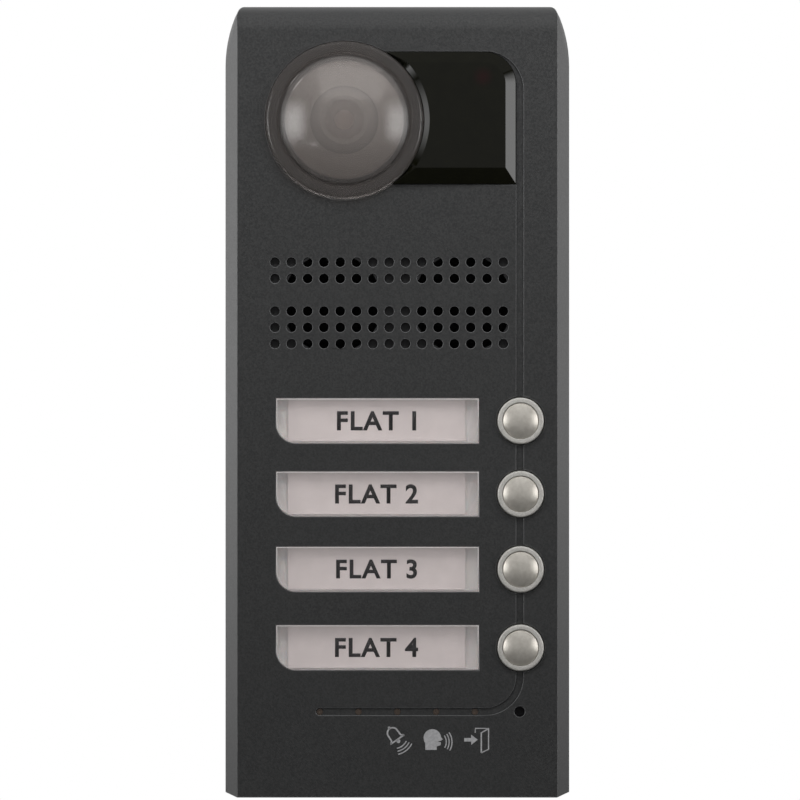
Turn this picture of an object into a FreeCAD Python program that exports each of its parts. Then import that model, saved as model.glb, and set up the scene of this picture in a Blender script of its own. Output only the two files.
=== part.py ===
import FreeCAD, Part
import math
import os

import Sketcher

# Door intercom panel, in millimetres. X is to the right as a caller sees it, Z is up,
# and the wall is the plane Y = 0. The panel stands out from the wall towards -Y, so every
# depth here is given as "out", the distance from the wall: out = -Y.
# The origin is on the wall, at the centre of the four wall fixings.

DIMENSIONS = [
    # housing
    ("panel_tall", 250.0),
    ("wall_wide", 110.0),
    ("face_wide", 101.2),
    ("panel_deep", 25.0),
    ("wall_thick", 2.5),
    ("top_roll", 8.0),
    ("shoulder_wide", 6.3),
    ("shoulder_tall", 18.0),
    ("shoulder_tight", 3.5),
    ("face_corner", 2.8),
    # guide groove, engraved in the face
    ("groove_wide", 2.25),
    ("groove_deep", 0.5),
    ("groove_bend", 12.3),
    ("groove_right", 39.8),
    ("groove_top", 110.5),
    ("groove_bottom", -99.05),
    # camera
    ("camera_x", -16.7),
    ("camera_z", 88.75),
    ("flange_reach", 24.9),
    ("flange_proud", 2.6),
    ("dome_reach", 20.2),
    ("dome_proud", 9.5),
    ("dome_thick", 1.8),
    ("eye_round", 13.0),
    ("eye_out", 18.0),
    ("pivot_pin", 1.0),
    # badge reader
    ("reader_right", 37.4),
    ("reader_top", 110.25),
    ("reader_bottom", 68.6),
    ("reader_corner", 10.0),
    ("reader_proud", 2.2),
    ("reader_bevel", 3.35),
    ("reader_low_bevel", 5.1),
    # loudspeakers
    ("grille_x", -38.6),
    ("grille_z", 18.2),
    ("grille_pitch", 5.147),
    ("grille_hole", 1.5),
    ("speaker_x", 20.6),
    ("speaker_z", 31.0),
    ("speaker_opening", 16.5),
    ("speaker_round", 18.0),
    # labels and call buttons
    ("label_left", -38.3),
    ("label_right", 25.8),
    ("label_tall", 14.3),
    ("label_corner", 6.3),
    ("button_x", 38.9),
    ("button_row_one", -6.1),
    ("button_row_two", -29.2),
    ("button_row_three", -52.95),
    ("button_row_four", -77.7),
    ("ring_round", 7.3),
    ("cap_round", 5.65),
    ("button_travel", 1.5),
    # status lights and microphone
    ("lamp_z", -97.95),
    ("lamp_pitch", 12.25),
    ("microphone_x", 38.6),
    ("microphone_z", -97.9),
    # main board
    ("board_left", -47.0),
    ("board_right", 47.0),
    ("board_top", 58.0),
    ("board_bottom", -113.0),
    ("board_front", 11.6),
    ("board_thick", 1.6),
    ("boss_x", 44.0),
    ("boss_round", 3.0),
    # back plate and wall fixing
    ("gasket_thick", 2.0),
    ("plate_thick", 1.5),
    ("plate_wide", 101.0),
    ("plate_top", 121.8),
    ("plate_bottom", -121.9),
    ("fixing_x", 30.0),
    ("fixing_z", 100.0),
    ("fixing_hole", 2.25),
    ("cable_x", 24.0),
    ("cable_z", 84.0),
    ("cable_bore", 6.0),
    ("cover_screw_x", 30.0),
    ("cover_screw_out", 9.0),
]

doc = FreeCAD.newDocument("door_panel")
sheet = doc.addObject("Spreadsheet::Sheet", "dims")


class Size:
    """A length that carries its value and the sheet expression that drives it."""

    def __init__(self, value, text):
        self.value = float(value)
        self.text = text

    def __add__(self, other):
        other = as_size(other)
        return Size(self.value + other.value, f"({self.text} + {other.text})")

    def __sub__(self, other):
        other = as_size(other)
        return Size(self.value - other.value, f"({self.text} - {other.text})")

    def __mul__(self, other):
        other = as_size(other)
        return Size(self.value * other.value, f"({self.text} * {other.text})")

    def __truediv__(self, other):
        other = as_size(other)
        return Size(self.value / other.value, f"({self.text} / {other.text})")

    def __neg__(self):
        return Size(-self.value, f"(0 - {self.text})")

    def __radd__(self, other):
        return as_size(other) + self

    def __rsub__(self, other):
        return as_size(other) - self

    def __rmul__(self, other):
        return as_size(other) * self


def as_size(item):
    """Plain numbers join in the arithmetic as constants."""
    if isinstance(item, Size):
        return item
    return Size(item, f"({item:.6g})")


def root(size):
    """Square root of a size."""
    return Size(math.sqrt(size.value), f"sqrt({size.text})")


def fill_sheet():
    """Write each driving dimension to the sheet and return them all by name."""
    sizes = {}
    for row, (name, value) in enumerate(DIMENSIONS, start=1):
        sheet.set(f"A{row}", name.replace("_", " "))
        sheet.set(f"B{row}", repr(value))
        sheet.setAlias(f"B{row}", name)
        sizes[name] = Size(value, f"dims.{name}")
    doc.recompute()
    return sizes


D = fill_sheet()
FACE = D["panel_deep"]
FACE_BACK = D["panel_deep"] - D["wall_thick"]
CAMERA = (D["camera_x"], D["camera_z"])
BUTTON_ROWS = [D["button_row_one"], D["button_row_two"], D["button_row_three"], D["button_row_four"]]
PLATE_BACK = D["gasket_thick"]
PLATE_FRONT = D["gasket_thick"] + D["plate_thick"]
BOARD_BACK = D["board_front"] - D["board_thick"]
STEM_END = as_size(16.8)
SWITCH_TOP = STEM_END - D["button_travel"] - 0.2
ACROSS = FreeCAD.Rotation(FreeCAD.Vector(1, 0, 0), 90)

parts = []


def keep(node, obj):
    """Name a finished sub-part after its node and keep it for the export."""
    obj.Label = node
    parts.append(obj)


# ---------------------------------------------------------------- sketch helpers


def new_body(name):
    return doc.addObject("PartDesign::Body", name)


def new_sketch(body, name, role="XZ_Plane", offset=0):
    """Sketch on one of the body's own origin planes. On XZ_Plane the offset is the distance out."""
    plane = [feature for feature in body.Origin.OriginFeatures if feature.Role == role][0]
    sketch = body.newObject("Sketcher::SketchObject", name)
    sketch.AttachmentSupport = [(plane, "")]
    sketch.MapMode = "FlatFace"
    sketch.setExpression("AttachmentOffset.Base.z", as_size(offset).text)
    return sketch


def bind_point(sketch, geometry, position, x, y):
    """Fix a sketch point by its two coordinates, driven by the sheet."""
    for kind, size in (("DistanceX", as_size(x)), ("DistanceY", as_size(y))):
        index = sketch.addConstraint(
            Sketcher.Constraint(kind, -1, 1, geometry, position, size.value)
        )
        sketch.setExpression(f"Constraints[{index}]", size.text)


def arc_between(start, end, radius, turn):
    """Minor arc from start to end. turn is 1 for anticlockwise, -1 for clockwise."""
    first, last = (start, end) if turn > 0 else (end, start)
    chord = last - first
    half = chord.Length / 2
    sideways = FreeCAD.Vector(-chord.y, chord.x, 0).normalize()
    centre = first + chord / 2 + sideways * math.sqrt(max(radius**2 - half**2, 0))
    angles = [math.atan2(point.y - centre.y, point.x - centre.x) for point in (first, last)]
    circle = Part.Circle(centre, FreeCAD.Vector(0, 0, 1), radius)
    return Part.ArcOfCircle(circle, angles[0], angles[1])


def draw_outline(sketch, corners):
    """Closed outline. A corner is (x, y), or (x, y, radius, turn) when an arc leaves it."""
    points = [FreeCAD.Vector(as_size(c[0]).value, as_size(c[1]).value, 0) for c in corners]
    count = len(corners)
    begins = []
    ends = []
    for number, corner in enumerate(corners):
        start = points[number]
        end = points[(number + 1) % count]
        if len(corner) == 2:
            index = sketch.addGeometry(Part.LineSegment(start, end), False)
            begins.append((index, 1))
            ends.append((index, 2))
            continue
        radius = as_size(corner[2])
        index = sketch.addGeometry(arc_between(start, end, radius.value, corner[3]), False)
        begins.append((index, 1 if corner[3] > 0 else 2))
        ends.append((index, 2 if corner[3] > 0 else 1))
        bound = sketch.addConstraint(Sketcher.Constraint("Radius", index, radius.value))
        sketch.setExpression(f"Constraints[{bound}]", radius.text)
    for number, corner in enumerate(corners):
        following = (number + 1) % count
        sketch.addConstraint(Sketcher.Constraint("Coincident", *ends[number], *begins[following]))
        bind_point(sketch, *begins[number], corner[0], corner[1])


def draw_rectangle(sketch, left, bottom, right, top):
    draw_outline(sketch, [(left, bottom), (right, bottom), (right, top), (left, top)])


def draw_circle(sketch, x, y, radius):
    x, y, radius = as_size(x), as_size(y), as_size(radius)
    centre = FreeCAD.Vector(x.value, y.value, 0)
    index = sketch.addGeometry(Part.Circle(centre, FreeCAD.Vector(0, 0, 1), radius.value), False)
    bind_point(sketch, index, 3, x, y)
    bound = sketch.addConstraint(Sketcher.Constraint("Radius", index, radius.value))
    sketch.setExpression(f"Constraints[{bound}]", radius.text)


def pad(body, sketch, length, **settings):
    feature = body.newObject("PartDesign::Pad", sketch.Name + "_pad")
    feature.Profile = sketch
    feature.setExpression("Length", as_size(length).text)
    for name, value in settings.items():
        setattr(feature, name, value)
    return feature


def pocket(body, sketch, length, **settings):
    feature = body.newObject("PartDesign::Pocket", sketch.Name + "_pocket")
    feature.Profile = sketch
    feature.setExpression("Length", as_size(length).text)
    for name, value in settings.items():
        setattr(feature, name, value)
    return feature


def loft(body, kind, sections):
    feature = body.newObject(kind, sections[0].Name + "_loft")
    feature.Profile = sections[0]
    feature.Sections = sections[1:]
    feature.Ruled = True
    return feature


def plate(name, out_from, out_to, draw):
    """Body that is one flat outline, thick from out_from to out_to. draw fills its sketch."""
    body = new_body(name)
    sketch = new_sketch(body, name + "_outline", offset=out_from)
    draw(sketch)
    pad(body, sketch, as_size(out_to) - out_from)
    return body


def box(name, left, bottom, out_from, right, top, out_to):
    """Part box between two corners, driven by the sheet."""
    left, bottom, out_from = as_size(left), as_size(bottom), as_size(out_from)
    solid = doc.addObject("Part::Box", name)
    solid.setExpression("Length", (as_size(right) - left).text)
    solid.setExpression("Width", (as_size(out_to) - out_from).text)
    solid.setExpression("Height", (as_size(top) - bottom).text)
    solid.setExpression("Placement.Base.x", left.text)
    solid.setExpression("Placement.Base.y", (-as_size(out_to)).text)
    solid.setExpression("Placement.Base.z", bottom.text)
    return solid


def rod(name, x, z, out_from, out_to, radius):
    """Part cylinder along Y, from out_from to out_to."""
    solid = doc.addObject("Part::Cylinder", name)
    solid.Placement.Rotation = ACROSS
    solid.setExpression("Radius", as_size(radius).text)
    solid.setExpression("Height", (as_size(out_to) - out_from).text)
    solid.setExpression("Placement.Base.x", as_size(x).text)
    solid.setExpression("Placement.Base.y", (-as_size(out_from)).text)
    solid.setExpression("Placement.Base.z", as_size(z).text)
    return solid


def turned(name, profile, centre):
    """Body turned about an axis along Y. The profile is (radius, out) corners.

    An arc's turn is as seen with out pointing up, so it changes sign in the sketch, where Y is
    minus out.
    """
    body = new_body(name)
    sketch = new_sketch(body, name + "_profile", "XY_Plane")
    corners = []
    for corner in profile:
        arc = (corner[2], -corner[3]) if len(corner) > 2 else ()
        corners.append((corner[0], -as_size(corner[1]), *arc))
    draw_outline(sketch, corners)
    feature = body.newObject("PartDesign::Revolution", name + "_turn")
    feature.Profile = sketch
    feature.ReferenceAxis = (sketch, ["V_Axis"])
    feature.Angle = 360
    body.setExpression("Placement.Base.x", as_size(centre[0]).text)
    body.setExpression("Placement.Base.z", as_size(centre[1]).text)
    return body


def group(name, solids):
    """Identical loose pieces that share one node."""
    compound = doc.addObject("Part::Compound", name)
    compound.Links = solids
    return compound


def cut(name, base, tools):
    """Base less every tool, one after another."""
    result = base
    for number, tool in enumerate(tools):
        step = doc.addObject("Part::Cut", f"{name}_cut_{number}")
        step.Base = result
        step.Tool = tool
        result = step
    return result


def fuse(name, solids):
    feature = doc.addObject("Part::MultiFuse", name)
    feature.Shapes = solids
    feature.Refine = True
    return feature


# ---------------------------------------------------------------- front cover


def shoulder_corners(half_wide, half_tall, wide, tall, tight):
    """Outline of the housing: square foot, and a shoulder of two tangent arcs at each top corner.

    The shoulder takes up wide by tall. Its tight arc meets the top, and a slack arc, whose radius
    makes the two tangent, meets the side.
    """
    slack = (wide * wide + tall * tall - 2 * tall * tight) / (2 * (wide - tight))
    lean = (slack - wide) / (slack - tight)
    rise = (tall - tight) / (slack - tight)
    inner_x = half_wide - wide
    inner_z = half_tall - tall
    join_x = inner_x + lean * tight
    join_z = inner_z + tall - tight + rise * tight
    return [
        (-half_wide, -half_tall),
        (half_wide, -half_tall),
        (half_wide, inner_z, slack, 1),
        (join_x, join_z, tight, 1),
        (inner_x, half_tall),
        (-inner_x, half_tall, tight, 1),
        (-join_x, join_z, slack, 1),
        (-half_wide, inner_z),
    ]


def housing_form(name, inset):
    """Solid form of the housing: it narrows from the wall to the face, with a rolled top edge.

    inset moves every surface inwards, so the same function gives the outside and the inside.
    """
    body = new_body(name)
    half_tall = D["panel_tall"] / 2 - inset
    deep = D["panel_deep"] - inset
    slope = (D["wall_wide"] - D["face_wide"]) / (2 * D["panel_deep"])
    wall_half = D["wall_wide"] / 2 - inset
    face_half = wall_half - slope * deep
    rear = new_sketch(body, name + "_rear")
    draw_outline(
        rear,
        shoulder_corners(
            wall_half,
            half_tall,
            D["shoulder_wide"] - inset,
            D["shoulder_tall"] - inset,
            D["shoulder_tight"] - inset * 0.5,
        ),
    )
    face = new_sketch(body, name + "_face", offset=deep)
    corner = D["face_corner"] - inset * 0.6
    draw_outline(
        face, shoulder_corners(face_half, half_tall, corner, corner * 1.2, corner * 0.9)
    )
    loft(body, "PartDesign::AdditiveLoft", [rear, face])
    roll = D["top_roll"] - inset
    beyond = 5
    edge = new_sketch(body, name + "_roll", "YZ_Plane")
    draw_outline(
        edge,
        [
            (-deep, half_tall - roll, roll, -1),
            (roll - deep, half_tall),
            (roll - deep, half_tall + beyond),
            (-deep - beyond, half_tall + beyond),
            (-deep - beyond, half_tall - roll),
        ],
    )
    pocket(body, edge, D["wall_wide"] * 2, SideType="Symmetric")
    return body


def groove_corners():
    """Groove outline: down the right side, round the foot and along to the first status light."""
    right = D["groove_right"]
    bend = D["groove_bend"]
    wide = D["groove_wide"]
    top = D["groove_top"]
    bottom = D["groove_bottom"]
    left = -2 * D["lamp_pitch"]
    return [
        (right - bend, top - wide, bend - wide, -1),
        (right - wide, top - bend),
        (right - wide, bottom + bend, bend - wide, -1),
        (right - bend, bottom + wide),
        (left, bottom + wide, wide / 2, 1),
        (left - wide / 2, bottom + wide / 2, wide / 2, 1),
        (left, bottom),
        (right - bend, bottom, bend, 1),
        (right, bottom + bend),
        (right, top - bend, bend, 1),
        (right - bend, top),
    ]


def reader_corners(grow, bevel, low_bevel, ring_gap):
    """Reader outline: its left side is cut round the camera, its upper right corner is rounded."""
    right = D["reader_right"] + grow - bevel
    top = D["reader_top"] + grow - bevel
    bottom = D["reader_bottom"] - grow + low_bevel
    corner = D["reader_corner"] + grow - bevel
    ring = D["flange_reach"] + ring_gap
    high = top - D["camera_z"]
    low = bottom - D["camera_z"]
    return [
        (D["camera_x"] + root(ring * ring - low * low), bottom),
        (right, bottom),
        (right, top - corner, corner, 1),
        (right - corner, top),
        (D["camera_x"] + root(ring * ring - high * high), top, ring, -1),
    ]


def label_corners(row, grow):
    """Label opening: square but for its rounded lower left corner."""
    left = D["label_left"] - grow
    right = D["label_right"] + grow
    bottom = row - D["label_tall"] / 2 - grow
    top = row + D["label_tall"] / 2 + grow
    corner = D["label_corner"] + grow
    return [
        (left + corner, bottom),
        (right, bottom),
        (right, top),
        (left, top),
        (left, bottom + corner, corner, 1),
    ]


def board_boss_places():
    return [(side * D["boss_x"], z) for z in (54.0, 8.0, -107.5) for side in (-1, 1)]


def camera_boss_places():
    reach = 28.0
    places = []
    for angle in (45, 225):
        x = D["camera_x"] + reach * math.cos(math.radians(angle))
        z = D["camera_z"] + reach * math.sin(math.radians(angle))
        places.append((x, z))
    return places


def front_cover():
    """Cast shell: the outer form less the inner one, then every opening, groove and boss."""
    outside = housing_form("housing_outside", as_size(0))
    inside = housing_form("housing_inside", D["wall_thick"])
    shell = cut("housing_shell", outside, [inside])
    body = new_body("front_cover")
    body.BaseFeature = shell

    bosses = new_sketch(body, "board_bosses", offset=D["board_front"] + 0.05)
    for x, z in board_boss_places():
        draw_circle(bosses, x, z, D["boss_round"])
    pad(body, bosses, FACE_BACK + 0.5 - D["board_front"])
    posts = new_sketch(body, "camera_bosses", offset=11.05)
    for x, z in camera_boss_places():
        draw_circle(posts, x, z, D["boss_round"])
    pad(body, posts, FACE_BACK + 0.5 - 11.0)
    ledge = new_sketch(body, "hook_ledge", offset=3.8)
    inner_top = D["panel_tall"] / 2 - D["wall_thick"]
    draw_rectangle(ledge, -36.0, inner_top - 3.3, 36.0, inner_top + 0.5)
    pad(body, ledge, 1.9)

    pilots = new_sketch(body, "screw_pilots", offset=FACE_BACK - 1.5)
    for x, z in board_boss_places() + camera_boss_places():
        draw_circle(pilots, x, z, 1.15)
    pocket(body, pilots, D["panel_deep"])

    openings = new_sketch(body, "through_openings", offset=FACE)
    draw_circle(openings, *CAMERA, D["dome_reach"] + 0.5)
    for row in BUTTON_ROWS:
        draw_circle(openings, D["button_x"], row, D["ring_round"] + 0.4)
        draw_outline(openings, label_corners(row, 0))
    for step in range(-2, 3):
        draw_circle(openings, step * D["lamp_pitch"], D["lamp_z"], 1.05)
    draw_circle(openings, D["microphone_x"], D["microphone_z"], 1.65)
    pocket(body, openings, D["wall_thick"] + 0.5)

    antenna = new_sketch(body, "antenna_opening", offset=FACE)
    draw_rectangle(antenna, 14.0, 76.0, 31.0, 103.0)
    pocket(body, antenna, D["wall_thick"] + 0.5)
    seat = new_sketch(body, "reader_seat", offset=FACE)
    draw_outline(seat, reader_corners(0.15, 0, 0, 0.2))
    pocket(body, seat, 1.0)
    ring = new_sketch(body, "dome_seat", offset=FACE)
    draw_circle(ring, *CAMERA, D["flange_reach"] + 0.2)
    pocket(body, ring, 0.6)
    groove = new_sketch(body, "guide_groove", offset=FACE)
    draw_outline(groove, groove_corners())
    pocket(body, groove, D["groove_deep"])

    low = D["cover_screw_out"]
    holes = new_sketch(body, "cover_screw_holes", "XY_Plane", -D["panel_tall"] / 2)
    heads = new_sketch(body, "cover_screw_heads", "XY_Plane", -D["panel_tall"] / 2)
    for side in (-1, 1):
        draw_circle(holes, side * D["cover_screw_x"], -low, 2.2)
        draw_circle(heads, side * D["cover_screw_x"], -low, 3.8)
    pocket(body, holes, D["wall_thick"] + 0.5, Reversed=True)
    pocket(body, heads, 1.25, Reversed=True)

    column = new_sketch(body, "grille_column", offset=FACE)
    for step in (0, 1, 2, 4, 5):
        draw_circle(
            column, D["grille_x"], D["grille_z"] + step * D["grille_pitch"], D["grille_hole"]
        )
    first_column = pocket(body, column, D["wall_thick"] + 0.5)
    doc.recompute()
    before = first_column.Shape.Volume
    rows = body.newObject("PartDesign::LinearPattern", "grille")
    rows.Originals = [first_column]
    rows.Direction = (column, ["H_Axis"])
    rows.setExpression("Length", (14 * D["grille_pitch"]).text)
    rows.Occurrences = 15
    body.Tip = rows
    doc.recompute()
    one_hole = math.pi * D["grille_hole"].value ** 2 * D["wall_thick"].value
    print("grille holes cut:", round((before - rows.Shape.Volume) / one_hole) + 5)
    keep("front_cover", body)


# ---------------------------------------------------------------- camera


def dome_rise(radius_inset):
    """Radius and centre of the dome, which rises from its foot to its crown."""
    foot = FACE + D["flange_proud"]
    crown = FACE + D["dome_proud"]
    rise = crown - foot
    reach = D["dome_reach"]
    radius = (reach * reach + rise * rise) / (2 * rise)
    return radius - radius_inset, crown - radius


def camera_dome():
    """One smoked moulding: a flange on the face, a dome inside it and a spigot through the face."""
    outer, centre = dome_rise(0)
    inner, _ = dome_rise(D["dome_thick"])
    front = FACE + D["flange_proud"]
    reach = D["dome_reach"]
    bore = reach - D["dome_thick"]
    inner_foot = centre + root(inner * inner - bore * bore)
    profile = [
        (0, FACE + D["dome_proud"], outer, -1),
        (reach, front),
        (reach, front - 0.9),
        (reach + 0.9, front - 0.9),
        (reach + 1.3, front),
        (D["flange_reach"] - 1.6, front, 1.6, -1),
        (D["flange_reach"], front - 1.6),
        (D["flange_reach"], FACE - 0.5),
        (reach + 0.3, FACE - 0.5),
        (reach + 0.3, FACE_BACK - 3.6),
        (bore, FACE_BACK - 3.6),
        (bore, inner_foot, inner, 1),
        (0, FACE + D["dome_proud"] - D["dome_thick"]),
    ]
    keep("camera_dome", turned("camera_dome", profile, CAMERA))


def ring_profile(inner, outer, out_from, out_to):
    return [(inner, out_from), (outer, out_from), (outer, out_to), (inner, out_to)]


def camera_fixings():
    """Behind the dome: its gasket, the ring that holds it, and the shroud round the eye."""
    spigot = D["dome_reach"] + 0.3
    gasket = ring_profile(spigot + 0.3, 23.5, FACE_BACK - 0.8, FACE_BACK - 0.05)
    keep("dome_gasket", turned("dome_gasket", gasket, CAMERA))
    holder = ring_profile(spigot + 0.05, 23.5, FACE_BACK - 3.6, FACE_BACK - 0.85)
    body = turned("dome_retaining_ring", holder, CAMERA)
    notches = new_sketch(body, "spanner_notches", offset=FACE_BACK - 3.6)
    for side in (-1, 1):
        draw_rectangle(notches, side * 22.4 - 1.2, -1.5, side * 22.4 + 1.2, 1.5)
    pocket(body, notches, 1.2, Reversed=True)
    keep("dome_retaining_ring", body)
    bore = D["dome_reach"] - D["dome_thick"]
    mouth = D["eye_round"] - 2.4
    foot = FACE_BACK + 1.9
    shroud = [
        (mouth, foot + 1.7),
        (bore - 0.3, foot),
        (bore - 0.3, foot + 1.2),
        (mouth, foot + 2.7),
    ]
    keep("camera_shroud", turned("camera_shroud", shroud, CAMERA))


def camera_holder():
    """Cup behind the face that carries the yoke on two upright pivots, with two screw ears."""
    inner = as_size(15.9)
    outer = as_size(17.1)
    profile = [
        (0, 7.1),
        (outer, 7.1),
        (outer, 21.0),
        (inner, 21.0),
        (inner, 8.6),
        (0, 8.6),
    ]
    cup = turned("holder_cup", profile, CAMERA)
    ears = [rod(f"holder_ear_{n}", x, z, 9.3, 11.0, 4.2) for n, (x, z) in enumerate(camera_boss_places())]
    arms = []
    for number, (x, z) in enumerate(camera_boss_places()):
        arm = doc.addObject("Part::Box", f"holder_arm_{number}")
        angle = 45 + 180 * number
        turn = FreeCAD.Rotation(FreeCAD.Vector(0, 1, 0), -angle)
        arm.Length = 12.0
        arm.Width = 1.7
        arm.Height = 6.0
        start = FreeCAD.Vector(D["camera_x"].value, -11.0, D["camera_z"].value)
        arm.Placement = FreeCAD.Placement(start + turn.multVec(FreeCAD.Vector(16.3, 0, -3)), turn)
        arms.append(arm)
    solid = fuse("holder_solid", [cup] + ears + arms)
    tools = [
        rod(f"holder_hole_{n}", x, z, 9.0, 12.0, 1.5) for n, (x, z) in enumerate(camera_boss_places())
    ]
    bore = doc.addObject("Part::Cylinder", "holder_pivot_bore")
    bore.setExpression("Radius", (D["pivot_pin"] + 0.05).text)
    bore.Height = 40.0
    bore.setExpression("Placement.Base.x", D["camera_x"].text)
    bore.setExpression("Placement.Base.y", (-D["eye_out"]).text)
    bore.setExpression("Placement.Base.z", (D["camera_z"] - 20).text)
    tools.append(bore)
    tools.append(rod("holder_lead_hole", *CAMERA, 6.0, 10.0, 4.0))
    keep("camera_holder", cut("camera_holder", solid, tools))


def camera_yoke():
    """Ring round the eye. Its own pins pan it in the holder, and its side bores carry the eye."""
    inner = D["eye_round"] + 0.4
    outer = as_size(15.3)
    half = 2.0
    ring = turned(
        "yoke_ring", ring_profile(inner, outer, D["eye_out"] - half, D["eye_out"] + half), CAMERA
    )
    pins = []
    for number, side in enumerate((-1, 1)):
        pin = doc.addObject("Part::Cylinder", f"yoke_pin_{number}")
        pin.setExpression("Radius", D["pivot_pin"].text)
        pin.Height = 2.6
        pin.setExpression("Placement.Base.x", D["camera_x"].text)
        pin.setExpression("Placement.Base.y", (-D["eye_out"]).text)
        start = D["camera_z"] + (14.4 if side > 0 else -17.0)
        pin.setExpression("Placement.Base.z", start.text)
        pins.append(pin)
    bore = doc.addObject("Part::Cylinder", "yoke_bore")
    bore.Placement.Rotation = FreeCAD.Rotation(FreeCAD.Vector(0, 1, 0), 90)
    bore.setExpression("Radius", (D["pivot_pin"] + 0.05).text)
    bore.Height = 40.0
    bore.setExpression("Placement.Base.x", (D["camera_x"] - 20).text)
    bore.setExpression("Placement.Base.y", (-D["eye_out"]).text)
    bore.setExpression("Placement.Base.z", D["camera_z"].text)
    keep("camera_yoke", cut("camera_yoke", fuse("yoke_solid", [ring] + pins), [bore]))


def camera_eye():
    """Ball that tilts in the yoke on two side pins, open behind for the lens and board."""
    radius = D["eye_round"]
    middle = D["eye_out"]
    front = middle + 10.6
    back = middle - 6.4
    flat = root(radius * radius - 10.6 * 10.6)
    rear = root(radius * radius - 6.4 * 6.4)
    profile = [
        (6.3, front),
        (6.3, middle + 2.0),
        (rear - 1.6, middle + 2.0),
        (rear - 1.6, back),
        (rear, back, radius, 1),
        (flat, front),
    ]
    ball = turned("eye_ball", profile, CAMERA)
    pins = []
    for number, side in enumerate((-1, 1)):
        pin = doc.addObject("Part::Cylinder", f"eye_pin_{number}")
        pin.Placement.Rotation = FreeCAD.Rotation(FreeCAD.Vector(0, 1, 0), 90)
        pin.setExpression("Radius", D["pivot_pin"].text)
        pin.Height = 2.8
        start = D["camera_x"] + (12.2 if side > 0 else -15.0)
        pin.setExpression("Placement.Base.x", start.text)
        pin.setExpression("Placement.Base.y", (-middle).text)
        pin.setExpression("Placement.Base.z", D["camera_z"].text)
        pins.append(pin)
    keep("camera_eye", fuse("camera_eye", [ball] + pins))


def camera_optics():
    """Lens barrel in the eye, its front glass, and the board behind it."""
    front = D["eye_out"] + 10.6
    barrel = [
        (3.1, front - 0.3),
        (3.1, front - 1.6),
        (2.4, front - 2.6),
        (2.4, D["eye_out"] - 1.9),
        (6.25, D["eye_out"] - 1.9),
        (6.25, front - 0.3),
    ]
    keep("camera_lens_barrel", turned("camera_lens_barrel", barrel, CAMERA))
    glass = [(0, front - 0.2, 9.0, -1), (3.05, front - 0.75), (3.05, front - 1.6), (0, front - 1.6)]
    keep("camera_lens", turned("camera_lens", glass, CAMERA))
    disc = ring_profile(0, 9.4, D["eye_out"] - 3.6, D["eye_out"] - 2.0)
    keep("camera_board", turned("camera_board", disc, CAMERA))


def screw(name, x, z, tip_out, seat_out, head_out):
    """Pan-head screw driven from the wall side: shank, head and a hexagon socket."""
    shank = rod(name + "_shank", x, z, seat_out - 0.01, tip_out, 1.1)
    head = rod(name + "_head", x, z, head_out, seat_out, 2.3)
    solid = fuse(name + "_solid", [shank, head])
    socket = doc.addObject("Part::Prism", name + "_socket")
    socket.Polygon = 6
    socket.Circumradius = 1.1
    socket.Height = 0.9
    socket.Placement = FreeCAD.Placement(
        FreeCAD.Vector(as_size(x).value, -as_size(head_out).value, as_size(z).value), ACROSS
    )
    return cut(name, solid, [socket])


def camera_screws():
    screws = [
        screw(f"camera_screw_{n}", x, z, 17.0, 9.25, 7.7)
        for n, (x, z) in enumerate(camera_boss_places())
    ]
    keep("camera_screws", group("camera_screws", screws))


# ---------------------------------------------------------------- badge reader


def reader_window():
    """Black cover: a straight rim in the seat of the face, and bevels all round a flat front."""
    body = new_body("reader_window")
    rim = new_sketch(body, "reader_rim", offset=FACE - 1.0)
    draw_outline(rim, reader_corners(0, 0, 0, 0.3))
    pad(body, rim, 1.3)
    foot = new_sketch(body, "reader_foot", offset=FACE + 0.3)
    draw_outline(foot, reader_corners(0, 0, 0, 0.3))
    top = new_sketch(body, "reader_front", offset=FACE + D["reader_proud"])
    bevel = D["reader_bevel"]
    draw_outline(top, reader_corners(0, bevel, D["reader_low_bevel"], 2.0))
    loft(body, "PartDesign::AdditiveLoft", [foot, top])
    keep("reader_window", body)


def reader_antenna():
    """Antenna board behind the opening, with its window in the middle."""
    def draw(sketch):
        draw_rectangle(sketch, 9.0, 72.0, 34.0, 106.0)
        draw_rectangle(sketch, 16.0, 79.0, 27.0, 99.0)

    keep("reader_antenna", plate("reader_antenna", FACE_BACK - 1.1, FACE_BACK - 0.1, draw))


# ---------------------------------------------------------------- sound


def speaker_baffle():
    """Moulded plate behind the speaker holes, with a socket for each loudspeaker."""
    body = new_body("speaker_baffle")
    base = new_sketch(body, "baffle_plate", offset=FACE_BACK - 2.1)
    draw_rectangle(base, -40.6, 12.6, 40.6, 49.4)
    pad(body, base, 2.0)
    walls = new_sketch(body, "baffle_sockets", offset=15.0)
    for side in (-1, 1):
        draw_circle(walls, side * D["speaker_x"], D["speaker_z"], D["speaker_round"] + 1.5)
    pad(body, walls, FACE_BACK - 2.0 - 15.0)
    bores = new_sketch(body, "baffle_bores", offset=FACE_BACK - 2.1)
    for side in (-1, 1):
        draw_circle(bores, side * D["speaker_x"], D["speaker_z"], D["speaker_round"] + 0.1)
    pocket(body, bores, 10.0)
    holes = new_sketch(body, "baffle_openings", offset=FACE_BACK)
    for side in (-1, 1):
        draw_circle(holes, side * D["speaker_x"], D["speaker_z"], D["speaker_opening"])
    pocket(body, holes, 4.0)
    keep("speaker_baffle", body)


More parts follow.
